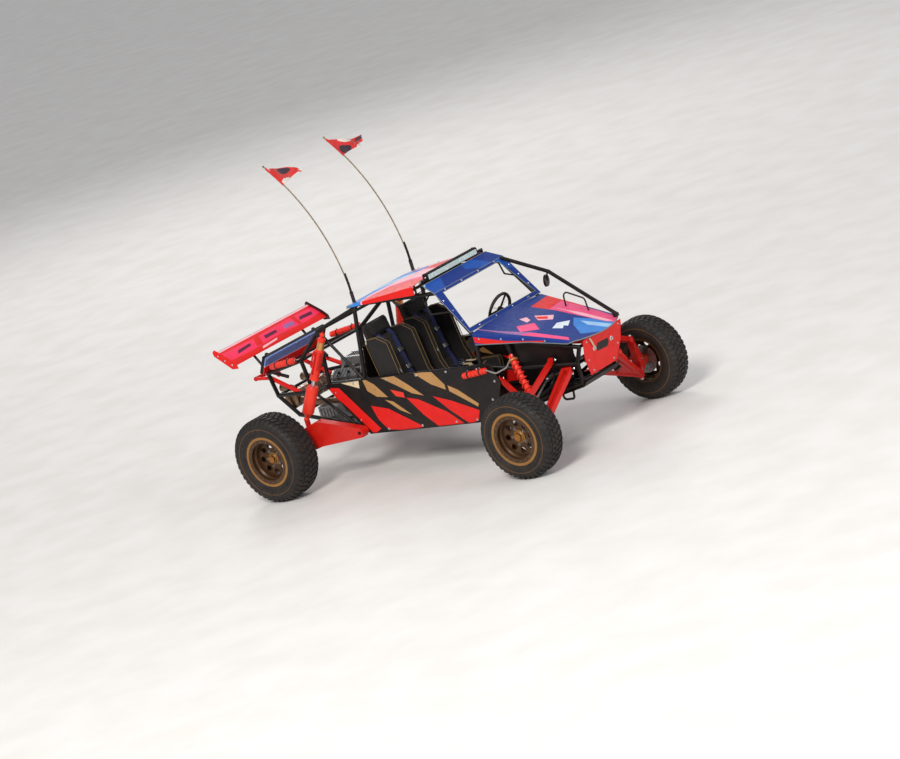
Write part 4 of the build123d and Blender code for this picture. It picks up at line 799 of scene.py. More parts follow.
def eye_end(shape, mat, z, r, kind):
    """A bush with its bolt across the shock at z."""
    across = mat @ Matrix.Translation((0, 0, z)) @ Matrix.Rotation(math.pi / 2, 4, "Y")
    shape.turned([(-0.0155, 0.012), (-0.0155, r - 0.002), (-0.013, r), (0.013, r), (0.0155, r - 0.002),
                  (0.0155, 0.012)], across, kind, 28)
    shape.turned(mm(-26, 8.5, -18, 8.5, -18, 12, 18, 12, 18, 8.5, 26, 8.5), across, 2, 12)


for axle, top, low in AXLES:
    for s, n in SIDES:
        a, b = Vector((top[0], s * top[1], top[2])), Vector((low[0], s * low[1], low[2]))
        long = (b - a).length
        way = (b - a).normalized()
        mat = place(a, way, Vector((1, 0, 0)).cross(way).cross(way))
        unit = Shape()
        if axle == "front":
            eye_end(unit, mat, 0, 0.02, 0)
            unit.turned(mm(16, 10, 24, 22, 34, 40, 46, 44, 50, 44, 52, 30), mat, 1, 32)
            unit.turned([(0.05, 0.016), (0.056, 0.0235), (long * 0.36, 0.0235), (long * 0.37, 0.016),
                         (long * 0.46, 0.0125)], mat, 0, 28)
            unit.tube(helix(0.0345, 0.056, long * 0.78, 8.5), 0.0062, 0, 9, mat=mat)
            unit.turned([(long * 0.4, 0.016), (long * 0.41, 0.0255), (long * 0.6, 0.027),
                         (long * 0.61, 0.0285), (long * 0.64, 0.0285), (long * 0.65, 0.027),
                         (long * 0.9, 0.027), (long * 0.92, 0.022), (long - 0.018, 0.014)], mat, 0, 32)
            unit.turned([(long * 0.775, 0.0275), (long * 0.775, 0.045), (long * 0.795, 0.045),
                         (long * 0.8, 0.038), (long * 0.82, 0.038), (long * 0.82, 0.0275)], mat, 0, 36)
            eye_end(unit, mat, long, 0.02, 0)
        else:
            eye_end(unit, mat, 0, 0.022, 0)
            unit.turned(mm(18, 14, 26, 28, 36, 37, 58, 37, 62, 30), mat, 0, 36)
            unit.turned(mm(60, 28, 64, 32.5, 136, 34.5, 140, 30), mat, 1, 36)
            unit.turned([(0.136, 0.036), (0.14, 0.0425), (0.15, 0.044), (0.156, 0.0425),
                         (long * 0.5, 0.04), (long * 0.505, 0.044), (long * 0.525, 0.044),
                         (long * 0.53, 0.036)], mat, 0, 44)
            for k in range(4):
                z = 0.19 + k * 0.055
                unit.turned([(z, 0.0405), (z + 0.001, 0.0428), (z + 0.005, 0.0428), (z + 0.006, 0.0405)],
                            mat, 0, 44)
            unit.turned([(long * 0.52, 0.018), (long * 0.66, 0.018)], mat, 2, 24)
            unit.turned([(long * 0.6, 0.02), (long * 0.605, 0.048), (long * 0.62, 0.055),
                         (long * 0.91, 0.055), (long * 0.93, 0.046), (long * 0.945, 0.03),
                         (long - 0.02, 0.018)], mat, 0, 44)
            for k in (-1, 0, 1):
                turn = Matrix.Rotation(math.radians(s * 90 + 48 * k), 4, "Z")
                path = rounded([(0.03, 0, 0.15), (0.052, 0, 0.17), (0.052, 0, long * 0.44 - 0.05 * abs(k)),
                                (0.03, 0, long * 0.46 - 0.05 * abs(k))], 0.012)
                unit.tube(path, 0.0085, 3, 12, mat=mat @ turn)
            eye_end(unit, mat, long, 0.022, 0)
        publish(unit, f"shock_{axle}_{n}", "coilovers", [SPRING, TAN, BRIGHT, ARM],
                ("coilovers",))

CAN_Y = SIDE_OUT + 0.0303
for s, n in SIDES:
    cans = Shape()
    for a, b in (((0.76, s * CAN_Y, 0.826), (1.03, s * CAN_Y, 0.852)),
                 ((-1.56, s * 0.434, 1.085), (-1.21, s * 0.478, 1.13))):
        a, b = Vector(a), Vector(b)
        long = (b - a).length
        mat = place(a, b - a, (0, 0, 1))
        line = mm(0, 14, 3, 26, 10, 28.5)
        count = 5 if a.x > 0 else 7
        pitch = (long - 0.05) / count
        for k in range(count):
            z = 0.025 + pitch * k
            line += [(z, 0.0215), (z + 0.006, 0.0298), (z + pitch - 0.014, 0.0298),
                     (z + pitch - 0.008, 0.0215)]
        line += [(long - 0.016, 0.0285), (long - 0.006, 0.027), (long, 0.016)]
        cans.turned(line, mat, 0, 36)
        for z in (long * 0.22, long * 0.74):
            cans.turned([(z, 0.0296), (z, 0.0318), (z + 0.012, 0.0318), (z + 0.012, 0.0296)], mat, 2, 36)
            at = mat @ Vector((0.034, 0, z + 0.006))
            cans.bolt(at, mat.to_3x3() @ Vector((1, 0, 0)), 0.005, 3, False)
        cans.turned([(long - 0.002, 0.012), (long + 0.012, 0.012), (long + 0.014, 0.009)], mat, 3, 16)
    for t in (0.25, 0.75):
        on_can = Vector((-1.56 + 0.35 * t, s * (0.434 + 0.044 * t), 1.085 + 0.045 * t))
        p, q = Vector((-1.69, s * 0.37, 1.01)), Vector((-1.18, s * 0.43, 1.11))
        foot = p + (q - p) * (0.25 + 0.7 * t)
        cans.tube([on_can, on_can + (foot - on_can) * 0.72], 0.009, 2, 14)
    line = [(1.034, s * CAN_Y, 0.852), (1.12, s * 0.546, 0.812), (1.215, s * 0.5, 0.84),
            (1.266, s * 0.478, 0.909)]
    cans.tube(rounded(line, 0.05, 8), 0.007, 1, 12)
    publish(cans, f"reservoirs_{n}", "shock_reservoirs", [SPRING, HOSE, BLACK, BRIGHT],
            ("shock_reservoirs",))

# Lamp bar

bar = Shape()
section = mm(480, 1664, 520, 1660, 527, 1668, 527, 1712, 520, 1722, 484, 1722, 474, 1712, 474, 1672)
bar.prism(section, lambda u, v, d: (u, d, v), -0.352, 0.352, 0.002, 0)
for s in (1, -1):
    bar.prism(mm(472, 1658, 530, 1656, 534, 1666, 534, 1714, 526, 1726, 480, 1726, 470, 1716),
              lambda u, v, d, s=s: (u, s * d, v), 0.352, 0.361, 0.002, 0)
    for reach, z in mm(359, 1668, 442, 1579.5):
        y0, y1 = sorted((s * reach, s * 0.452))
        bar.block((0.49, y0, z), (0.518, y1, 1.684), 0.002, 0)
    bar.bolt((0.504, s * 0.452, 1.676), (0, s, 0), 0.007, 2)
    bar.bolt((0.504, s * 0.3615, 1.69), (0, s, 0), 0.007, 2)
for k in range(27):
    y = -0.338 + 0.026 * k
    bar.block((0.4685, y - 0.002, 1.672), (0.476, y + 0.002, 1.712), 0.0006, 0)
    bar.block((0.486, y - 0.002, 1.7215), (0.516, y + 0.002, 1.7265), 0.0006, 0)
for k in range(12):
    y = -0.352 + 0.704 * (k + 0.5) / 12
    mat = place((0.5262, y, 1.69), (1, 0, 0), (0, 0, 1))
    bar.turned([(0.0, 0.006), (0.0005, 0.01), (0.0022, 0.0215), (0.003, 0.0235), (0.003, 0.0245),
                (0.0, 0.0245)], mat, 2, 28)
bar.block((0.5298, -0.35, 1.668), (0.5322, 0.35, 1.712), 0.001, 1)
for z in (1.6655, 1.7145):
    bar.tube([(0.531, -0.35, z), (0.531, 0.35, z)], 0.0026, 0, 8)
publish(bar, "lamp_bar_housing", "light_bar", [SATIN, LENS, BRIGHT], ("light_bar",))

# Wing, tail deck and front plate

WING_TOP = [(0.0, -1.765, 1.2), (0.06, -1.775, 1.214), (0.55, -1.875, 1.289), (1.0, -1.959, 1.343)]
WING_LOW = [(0.0, -1.7652, 1.1995), (0.06, -1.777, 1.2065), (0.55, -1.868, 1.26), (1.0, -1.963, 1.335)]


def on_wing(y, u, row):
    """A point of the wing's blade: u runs from its front edge back to 1."""
    for (u0, x0, z0), (u1, x1, z1) in zip(row, row[1:]):
        if u <= u1 + 1e-9:
            t = (u - u0) / (u1 - u0)
            return Vector((x0 + (x1 - x0) * t, y, z0 + (z1 - z0) * t))
    return Vector((row[-1][1], y, row[-1][2]))


wing = Shape()
WING_FIELDS = [
    (1, mm(-662, 300, -400, 240, 0, 300, 400, 240, 662, 300, 662, 740, 300, 800, -100, 720, -662, 780)),
    (3, mm(-662, 900, 662, 900, 662, 1000, -662, 1000)),
    (2, mm(-500, 400, -300, 460, -280, 600, -460, 560)),
    (2, mm(-100, 420, 70, 440, 90, 580, -80, 600)),
    (4, mm(170, 400, 310, 360, 330, 560, 200, 600)),
    (2, mm(400, 440, 580, 400, 600, 560, 440, 600)),
    (0, mm(-260, 300, -180, 280, -120, 720, -200, 740)),
    (0, mm(340, 260, 380, 260, 400, 780, 350, 780)),
    (3, mm(-240, 80, -20, 140, 0, 220, -220, 180)),
]
rows = [[(-0.662 + 1.324 * i / 14, u) for i in range(15)] for u in (0.06, 0.2, 0.4, 0.55, 0.75)]
wing.skin(mm(-662, 0, 662, 0, 662, 1000, -662, 1000), on_wing, (WING_TOP, WING_LOW),
          fields=WING_FIELDS, lines=rows)
wing.tube([(-1.962, -0.662, 1.3405), (-1.962, 0.662, 1.3405)], 0.0035, 5, 8)
ends = mm(-1735, 1178, -1745, 1214, -1800, 1262, -1965, 1368, -1983, 1352, -1978, 1318, -1800, 1178)
for s in (1, -1):
    kind = 5 if s > 0 else 0
    wing.skin(ends, upright, (s * 0.674, s * 0.662), kind=kind)
    wing.tube([(u, s * 0.668, v) for u, v in ends], 0.0062, kind, 8, loop=True)
    for u, v in mm(-1790, 1215, -1860, 1262, -1930, 1312):
        wing.bolt((u, s * 0.674, v), (0, s, 0), 0.006, 6)
publish(wing, "wing_blade_and_ends", "rear_wing", [RED, ROSE, MAGENTA, PALE_PINK, LILAC, BROWN, BRIGHT],
        ("rear_wing",))

deck = Shape()
deck_low, deck_up = Vector((-1.68, 0, 1.02)), Vector((0.092, 0, 0.15))
deck_thick = Vector((-0.038, 0, 0.024))


def on_deck(y, u, depth):
    """A point of the tail deck: u runs up it to 1, depth through it."""
    p = deck_low + deck_up * u + deck_thick * depth
    return Vector((p.x, y, p.z))


# Field 1 is the lightened blue-grey, its extra brightness painted light; field 2 is a pale pink stripe.
DECK_FIELDS = [(1, mm(-440, 520, 200, 500, 300, 1000, -440, 1000)),
               (2, mm(-440, 460, 190, 450, 200, 500, -440, 520))]
deck.skin(mm(-440, 0, 440, 0, 440, 1000, -440, 1000), on_deck, (0.0, 0.3), fields=DECK_FIELDS, step=0.09)
for y0, y1, u0, u1 in ((-0.44, 0.44, 0, 0.07), (-0.44, 0.44, 0.93, 1), (-0.44, -0.4, 0, 1),
                       (0.4, 0.44, 0, 1)):
    deck.hull([on_deck(y, u, d) for y in (y0, y1) for u in (u0, u1) for d in (0.25, 1.0)], 3)
for k in range(70):
    y = -0.395 + 0.79 * k / 69
    deck.hull([on_deck(y + e, u, d) for e in (-0.001, 0.001) for u in (0.07, 0.93) for d in (0.32, 0.8)], 4)
for k in range(6):
    u = 0.14 + 0.72 * k / 5
    deck.hull([on_deck(y, u + e, d) for y in (-0.4, 0.4) for e in (-0.012, 0.012) for d in (0.45, 0.72)], 4)
for y in (-0.42, -0.21, 0.0, 0.21, 0.42):
    for u in (0.04, 0.96):
        deck.bolt(on_deck(y, u, 0.0), (0.85, 0, -0.52), 0.006, 5)
for s in (1, -1):
    at = on_deck(s * 0.34, 0.85, 1.0)
    deck.tube(rounded([at, at + Vector((-0.03, 0, 0.02)), at + Vector((-0.035, 0, -0.16)),
                       at + Vector((0.1, -s * 0.06, -0.24))], 0.04), 0.016, 6, 14)
publish(deck, "tail_deck_core", "tail_deck", [RED, LIGHTENED_BLUE_GREY, PALE_PINK, BLACK, CAST, BRIGHT, BOOT],
        ("tail_deck",))

plate = Shape()


def on_plate(y, z, depth):
    """A point of the leaning front plate."""
    return Vector((1.842 + (z - 0.6) * 0.28 + depth, y, z))


plate_edge = mm(-280, 930, 280, 930, 280, 900, 262, 760, 190, 602, -190, 602, -262, 760, -280, 900)
plate.skin(plate_edge, on_plate, (0.0, -0.004),
           fields=[(4, mm(-85, 775, 70, 765, 90, 800, 75, 838, -80, 845, -100, 810))], step=0.09)
plate.tube([on_plate(y, z, -0.002) for y, z in plate_edge], 0.004, 0, 8, loop=True)
for s in (1, -1):
    plate.turned(mm(-2, 20, 2, 20, 3, 17), place(on_plate(s * 0.125, 0.815, 0.001), (1, 0, -0.27)), 2, 28)
    plate.bolt(on_plate(s * 0.125, 0.815, 0.002), (1, 0, -0.27), 0.012, 1)
    for y, z in mm(235, 905, 215, 740, 150, 630):
        plate.bolt(on_plate(s * y, z, 0.0), (1, 0, -0.27), 0.006, 1)
tie = [on_plate(y, z, d) for y, z, d in ((-0.125, 0.815, 0.008), (-0.16, 0.872, 0.01),
                                         (-0.195, 0.926, 0.006))]
for e in (-0.006, 0.0, 0.006):
    plate.tube(rounded([p + Vector((0, e, 0)) for p in tie], 0.03), 0.0042, 3, 8)
publish(plate, "front_plate_sheet", "front_plate", [RED, BRIGHT, WHITE, STRAP, PANEL],
        ("front_plate",))

# Bolts and rubber boots on the frame, knuckles, shafts and rack

fix = Shape()
PIVOTS = ((1.572, 0.318, 0.808, 0.029), (1.078, 0.468, 0.742, 0.029), (1.676, 0.272, 0.7, 0.058),
          (1.25, 0.378, 0.478, 0.029))
for s in (1, -1):
    for x, y, z, half in PIVOTS:
        for end in (1, -1):
            fix.bolt((x + end * (half + 0.0064), s * y, z), (end, 0, 0), 0.011, 0)
publish(fix, "arm_pivot_bolts", "frame_floor", [BRIGHT])
for s, n in SIDES:
    k = Shape()
    for z in (0.262, 0.594):
        end = 1 if z > 0.4 else -1
        mat = place((X_FRONT, s * KINGPIN_Y, z + end * 0.0308), (0, 0, end))
        k.turned(mm(0, 16, 10, 16, 13, 13), mat, 0, 6)
    for y, z in mm(800, 318, 830, 400, 790, 530):
        for end in (1, -1):
            k.bolt((X_FRONT + end * 0.032, s * y, z), (end, 0, 0), 0.006, 0)
    publish(k, f"kingpin_nuts_{n}", f"knuckle_{n}", [BRIGHT])
    shaft = Shape()
    mat = place((X_REAR, 0, REAR_R), (0, s, 0), (0, 0, 1))
    for z0, z1, r0, r1 in ((0.252, 0.345, 0.046, 0.022), (0.62, 0.54, 0.046, 0.022)):
        line = [(z0, 0.017)]
        for i in range(6):
            t = i / 6
            r = r0 + (r1 - r0) * t
            z = z0 + (z1 - z0) * t
            line += [(z, r - 0.006), (z + (z1 - z0) / 12, r + 0.004)]
        line.append((z1, 0.017))
        shaft.turned(line, mat, 0, 32)
        for z, r in ((z0, r0 - 0.001), (z1, r1 - 0.001)):
            shaft.band(z - 0.004, z + 0.004, r, r + 0.002, mat, 1, 32)
    for z in (0.1905, 0.6215):
        shaft.bolts(mat, 0.038, z, 6, 0.005, 1, way=-1)
    publish(shaft, f"shaft_boots_{n}", f"half_shaft_{n}", [BOOT, BRIGHT])
rack = Shape()
for s in (1, -1):
    mat = place((RACK_X, 0, RACK_Z), (0, s, 0), (0, 0, 1))
    line = [(0.2155, 0.0125)]
    for i in range(6):
        z = 0.2155 + 0.0095 * i
        line += [(z, 0.017), (z + 0.005, 0.022)]
    line.append((0.272, 0.0125))
    rack.turned(line, mat, 0, 28)
    a, b = Vector((RACK_X, s * 0.3, RACK_Z)), Vector((RACK_X, s * KINGPIN_Y, 0.419))
    rack.turned(mm(0, 11, 4, 14, 40, 14, 44, 11), place(b + (a - b) * 0.1, a - b), 1, 6)
publish(rack, "rack_boots", "steering_rack", [BOOT, BRIGHT])

# Steering grip, dials and mirror

lean = math.radians(25)
hub_at, hub_way = Vector((0.65, 0.28, 1.15)), Vector((-math.cos(lean), 0, math.sin(lean)))
mat = place(hub_at, hub_way, (0, 1, 0))
grip = Shape()
GRIP_R = 0.15
grip.tube([(u, v, 0) for u, v in circle(GRIP_R, 72)],
          [0.0138 + 0.0012 * math.cos(3 * 2 * math.pi * i / 72) for i in range(72)], 0, 14, loop=True,
          mat=mat)
for i in range(90):
    t = 2 * math.pi * i / 90
    ring = [(math.cos(t) * (GRIP_R + c), math.sin(t) * (GRIP_R + c), d) for c, d in circle(0.0153, 10)[:6]]
    grip.tube(ring, 0.0007, 1, 4, mat=mat)
grip.bolts(mat, 0.022, 0.01, 6, 0.0036, 1)
grip.turned(mm(9, 14, 13, 14, 14, 12, 14, 3), mat, 1, 24)
for r in (0.062, 0.088, 0.112):
    for u, v in circle(r, 3, start=math.pi / 2):
        grip.band(0.0028, 0.004, 0.006, 0.0085, mat @ Matrix.Translation((u, v, 0)), 1, 18)
publish(grip, "steering_grip", "steering_wheel", [BOOT, BRIGHT])

dash = Shape()
face_at, face_way = Vector((0.851, 0, 1.112)), Vector((-0.85, 0, 0.53)).normalized()
for y, r in mm(280, 40, 180, 27, 380, 27, -20, 24, 50, 24, -90, 24):
    mat = place(face_at + Vector((0, y, 0)), face_way, (0, 1, 0))
    dash.turned([(0, r), (0.01, r), (0.012, r - 0.003), (0.008, r - 0.005), (0.007, 0.002)], mat, 0, 32)
    dash.turned(mm(8.5, 2.5, 11, 2), mat, 1, 10)
    for i in range(9):
        t = math.radians(-40 + 32.5 * i)
        dash.block((-0.0006, r * 0.62, 0.0072), (0.0006, r * 0.8, 0.0084), 0.0002, 2,
                   mat @ Matrix.Rotation(t, 4, "Z"))
    dash.block((-0.0009, -r * 0.15, 0.0088), (0.0009, r * 0.62, 0.0098), 0.0003, 3,
               mat @ Matrix.Rotation(rng.uniform(-1.2, 1.2), 4, "Z"))
for k in range(6):
    y = -0.22 - 0.035 * k
    mat = place(face_at + Vector((0, y, 0)), face_way, (0, 1, 0))
    dash.turned(mm(0, 9, 4, 9, 4, 3), mat, 1, 16)
    dash.tube([mat @ Vector((0, 0, 0.004)), mat @ Vector((0, 0.007, 0.018))], [0.0022, 0.0034], 1, 8)
publish(dash, "dash_dials", "dash", [SATIN, BRIGHT, WHITE, RED])

glass = Shape()
mat = place((1.15, 0.43, 1.318), (-0.94, -0.3, 0.1))
glass.turned([(0.0182, 0.047), (0.0188, 0.047), (0.019, 0.04), (0.0195, 0.004)], mat, 0, 40)
glass.turned(mm(10, 52, 10, 54.5, 21, 54.5, 21.5, 50, 18.5, 47.5), mat, 1, 40)
publish(glass, "mirror_glass", "driver_bar", [GLASS, BLACK])

# Ribs, pipes and belt on the engine, gearbox and silencer

motor = Shape()
for s in (1, -1):
    turn = Matrix.Translation((-0.87, s * 0.205, 0.868)) @ Matrix.Rotation(math.radians(-s * 30), 4, "X")
    motor.ribs(-0.16, 0.04, 9, 0.006, (-0.05, 0.029), (0.05, 0.036), 0.002, turn)
    for x in (-0.165, 0.165):
        for y in (-0.045, 0.045):
            motor.bolt(turn @ Vector((x, y, 0.03)), turn.to_3x3() @ Vector((0, 0, 1)), 0.006, 1)
    motor.turned(mm(0, 22, 14, 22, 16, 18, 22, 18), turn @ Matrix.Translation((0.13, 0, 0.03)), 3, 20)
    for k in range(3):
        x = -0.99 + 0.12 * k
        motor.tube(rounded([(x, s * 0.06, 0.905), (x, s * 0.12, 0.93), (x - 0.01, s * 0.165, 0.872)],
                           0.04), 0.02, 0, 18)
        motor.tube(rounded([(x + 0.03, s * 0.235, 0.905), (x + 0.03, s * 0.262, 0.9),
                            (x + 0.02, s * 0.268, 0.8)], 0.02), 0.0042, 2, 8)
        mat = place((x + 0.03, s * 0.228, 0.884), (0, s * 0.5, 0.86))
        motor.turned(mm(0, 12, 30, 12, 34, 8), mat, 3, 14)
    motor.tube([(-1.03, s * 0.08, 0.992), (-0.71, s * 0.08, 0.992)], 0.009, 1, 12)
    y0, y1 = sorted((s * 0.189, s * 0.196))
    motor.ribs(-1.062, 0.04, 11, 0.003, (y0, 0.5), (y1, 0.7), 0.001)
motor.ribs(-1.01, 0.04, 8, 0.004, (-0.07, 0.984), (0.07, 0.992), 0.0015)
motor.ribs(-1.062, 0.04, 11, 0.003, (-0.15, 0.462), (0.15, 0.471), 0.001)
motor.tube(rounded([(-0.6, 0, 0.9), (-0.57, 0, 0.9), (-0.57, 0.16, 0.96), (-0.6, 0.24, 1.02)], 0.05),
           0.044, 3, 24)
filter_mat = place((-0.6, 0.24, 1.01), (0, 0.25, 0.97))
motor.turned(mm(0, 50, 4, 66, 120, 66, 128, 50), filter_mat, 4, 40)
for u, v in circle(0.0665, 22):
    motor.tube([filter_mat @ Vector((u, v, z)) for z in (0.006, 0.118)], 0.0026, 4, 6)
PULLEYS = ((0, 0.56, 0.076), (-0.13, 0.69, 0.048), (0.13, 0.69, 0.048), (0, 0.78, 0.036))
for y, z, r in PULLEYS:
    m = place((-0.6245, y, z), (1, 0, 0), (0, 1, 0))
    motor.turned([(0, r - 0.012), (0.002, r - 0.01), (0.0025, r * 0.42), (0.01, r * 0.36), (0.012, 0.01)],
                 m, 1, 32)
    motor.bolt((-0.613, y, z), (1, 0, 0), 0.01, 1)
WRAPS = ((-150, -110, -70, -30), (160, 120, 80, 100), (20, 60, 100, 80))
belt = [(y + r * math.cos(math.radians(a)), z + r * math.sin(math.radians(a)))
        for (y, z, r), turns in zip(PULLEYS, WRAPS) for a in turns]
loop = sorted(belt, key=lambda p: math.atan2(p[1] - 0.64, p[0]))
motor.tube([(-0.64, y * 1.01, 0.64 + (z - 0.64) * 1.01) for y, z in loop], 0.0062, 2, 6, loop=True)
publish(motor, "engine_dressing", "engine", [CAST, BRIGHT, BOOT, SATIN, GREY])

gears = Shape()
gears.bolts(place((-1.098, 0, 0.54), (1, 0, 0), (0, 1, 0)), 0.166, 0, 12, 0.007, 1, washer=True)
gears.ribs(-1.455, 0.038, 9, 0.003, (-0.112, 0.33), (0.112, 0.545), 0.001)
gears.turned(mm(0, 34, 6, 34, 10, 28, 30, 26), place((-1.48, 0, 0.47), (-1, 0, 0)), 1, 28)
gears.bolt((-1.22, 0, 0.56), (0, 0, 1), 0.014, 1)
for s in (1, -1):
    gears.bolts(place((X_REAR, s * 0.1652, REAR_R), (0, s, 0)), 0.056, 0, 8, 0.005, 1, washer=True)
publish(gears, "gearbox_ribs", "gearbox", [CAST, BRIGHT])

tail = Shape()
for s in (1, -1):
    tail.turned(mm(0, 81, 4, 82, 10, 80, 14, 60), place((-1.61, s * 0.255, 0.7), (0, s, 0)), 0, 44)
    for y in (0.1, 0.19):
        tail.turned([(-0.004, 0.0802), (-0.003, 0.0825), (0.003, 0.0825), (0.004, 0.0802)],
                    place((-1.61, s * y, 0.7), (0, s, 0)), 1, 44, closed=True)
    tail.tube(rounded([(-1.64, s * 0.15, 0.765), (-1.69, s * 0.15, 0.79), (-1.79, s * 0.15, 0.8)], 0.05),
              0.032, 0, 28)
    mat = place((-1.786, s * 0.15, 0.8), (-1, 0, 0.05))
    tail.turned(mm(0, 33, 0, 36, 12, 36, 12, 29, -20, 29), mat, 0, 28)
publish(tail, "silencer_bands_and_tips", "exhaust", [HEAT, BRIGHT])

# Whips with their flags

whip_finish = Finish("whip_rod")
split = whip_finish.spread(whip_finish.axis("Z"), 1.8, 1.83)
rod_tint = whip_finish.mix(whip_finish.noise(30), rgb(104, 88, 62), rgb(140, 120, 88))
whip_finish.set(Base_Color=whip_finish.mix(split, rgb(24, 21, 22), rod_tint), Roughness=0.42)
whip_finish.bump(whip_finish.noise(240), 0.0004, 0.3)
WHIP_X, WHIP_Y, WHIP_Z, WHIP_BEND = -0.33, 0.43, 1.6, 1.832
base = Shape()
for s in (1, -1):
    y = s * WHIP_Y
    base.tube([(WHIP_X, y, 1.668), (WHIP_X, y, 1.76), (WHIP_X - 0.0045, y, 1.852)],
              [0.0115, 0.0105, 0.0085], 1, 14)
    for z0, z1, r in ((1.668, 1.676, 0.0175), (1.752, 1.76, 0.0125)):
        base.turned([(z0, 0.006), (z0, r), (z1, r), (z1, 0.006)], place((WHIP_X, y, 0), (0, 0, 1)), 0, 24)
publish(base, "whip_sleeves", "whips", [SATIN, BLACK])

FLAG_LOW, FLAG_WIDE = 38, 7


def whip_point(angle, s):
    """The point of a whip's rod after this many degrees of its bow."""
    a = math.radians(angle)
    return Vector((WHIP_X - WHIP_BEND * (1 - math.cos(a)), s * WHIP_Y, WHIP_Z + WHIP_BEND * math.sin(a)))


def flag_mesh(s, phase, tail_up):
    """A pennant on the rod between two angles; its folds keep the cloth's length."""
    nu, nv = 30, 54
    verts = []
    tip = whip_point(FLAG_LOW, s) + Vector((0.33, 0, 0.12))
    for j in range(nv + 1):
        q = j / nv
        for i in range(nu + 1):
            p = i / nu
            root = whip_point(FLAG_LOW + FLAG_WIDE * p, s)
            wave = 0.03 * q ** 0.8 * math.sin(9.0 * q + phase + 1.6 * p)
            wave += 0.012 * q * math.sin(21 * q + 2 * phase - 3 * p)
            lift = tail_up * 0.04 * q * q * math.sin(3.1 * q + p)
            verts.append(root + (tip - root) * q * (1 - 0.1 * q) + Vector((0, wave, lift)))
    faces, kinds = [], []
    for j in range(nv):
        for i in range(nu):
            a = j * (nu + 1) + i
            if j == nv - 1:
                faces.append((a, a + 1, a + nu + 1))
            else:
                faces.append((a, a + 1, a + nu + 2, a + nu + 1))
            q, p = (j + 0.5) / nv, (i + 0.5) / nu
            tone = math.sin(7.3 * q + 2.1 * p + phase) + math.sin(3.1 * q - 5.2 * p + 2 * phase)
            kinds.append(1 if tone > 1.0 else 2 if tone < -1.0 else 0)
    return Shape().add(verts, faces, kinds)


for s, n, phase, tail_up in ((1, "left", 2.6, -1.0), (-1, "right", 0.4, 1.0)):
    flag = flag_mesh(s, phase, tail_up)
    made = publish(flag, f"flag_{n}_cloth", "flags", [FLAG_RED, FLAG_WHITE, FLAG_DARK],
                   ("flags",), 80)
    areas = []
    worked(made.data, welded, lambda work: areas.append(sum(f.calc_area() for f in work.faces)))
    hem = Shape()
    hem.tube([whip_point(FLAG_LOW + FLAG_WIDE * i / 10, s) for i in range(11)], 0.0105, 0, 12)
    sewn = publish(hem, f"flag_{n}_sleeve", "flags", [FLAG_RED], ("flags",))

# Windshield ring and visor

ring_way, ring_up = Vector((0.5971, 0, -0.8022)), Vector((0.8022, 0, 0.5971))


def on_ring(y, t, depth):
    """A point of the windshield ring: t runs down it from its top edge."""
    return Vector((0.672, y, 1.574)) + ring_way * t + ring_up * depth


ring_edge = mm(-505, 0, -521, 472, 521, 472, 505, 0)
ring_hole = [(-0.407, 0.026), (-0.487, 0.4338), (0.487, 0.4338), (0.407, 0.026)]
# Fields 1 and 2 are a painted highlight on the deep blue ring: a mid-blue patch at its upper corner round a
# sky-blue core.
RING_HIGHLIGHT_FIELDS = [(1, mm(300, -10, 520, -10, 530, 160, 400, 100, 360, 20)),
               (2, mm(440, -10, 520, -10, 530, 70))]
screen = Shape()
screen.skin(ring_edge, on_ring, (0.004, 0.0), [ring_hole], RING_HIGHLIGHT_FIELDS, step=0.09)


def on_visor(x, y, depth):
    """A point of the visor between the ring and the roof."""
    return Vector((x, y, 1.645 - (x - 0.53) * 0.5 + depth))


visor_edge = mm(530, -460, 675.5, -505, 675.5, 505, 530, 460)
# These fields are painted highlights on the deep blue visor: mid-blue patches and a sky-blue corner.
VISOR_HIGHLIGHT_FIELDS = [(1, mm(520, -200, 680, -340, 680, -520, 520, -520)),
                (1, mm(520, 100, 600, 60, 680, 200, 680, 340, 520, 240)),
                (2, mm(520, -400, 600, -520, 520, -520))]
screen.skin(visor_edge, on_visor, (0.004, 0.0), fields=VISOR_HIGHLIGHT_FIELDS, step=0.07)
publish(screen, "windshield_ring_sheet", "windshield_surround", [BLUE, BLUE_PAINTED_HIGHLIGHT, SKY],
        ("windshield_surround",))
ring_trim = Shape()
for outline in (ring_edge, ring_hole):
    ring_trim.tube([on_ring(y, t, 0.002) for y, t in outline], 0.0042, 0, 8, loop=True)
ring_trim.tube([on_visor(x, y, 0.002) for x, y in visor_edge[1::-1] + visor_edge[:1:-1]], 0.0042, 0, 8)
for y in (-0.36, -0.12, 0.12, 0.36):
    for t in (0.012, 0.453):
        ring_trim.bolt(on_ring(y, t, 0.004), ring_up, 0.0058, 1)
for s in (1, -1):
    for t in (0.1, 0.22, 0.34):
        y = 0.477 + 0.016 * t / 0.472
        ring_trim.bolt(on_ring(s * y, t, 0.004), ring_up, 0.0058, 1)
publish(ring_trim, "windshield_ring_trim", "windshield_surround", [GREY, BRIGHT],
        ("windshield_surround",))

# Seats and belts

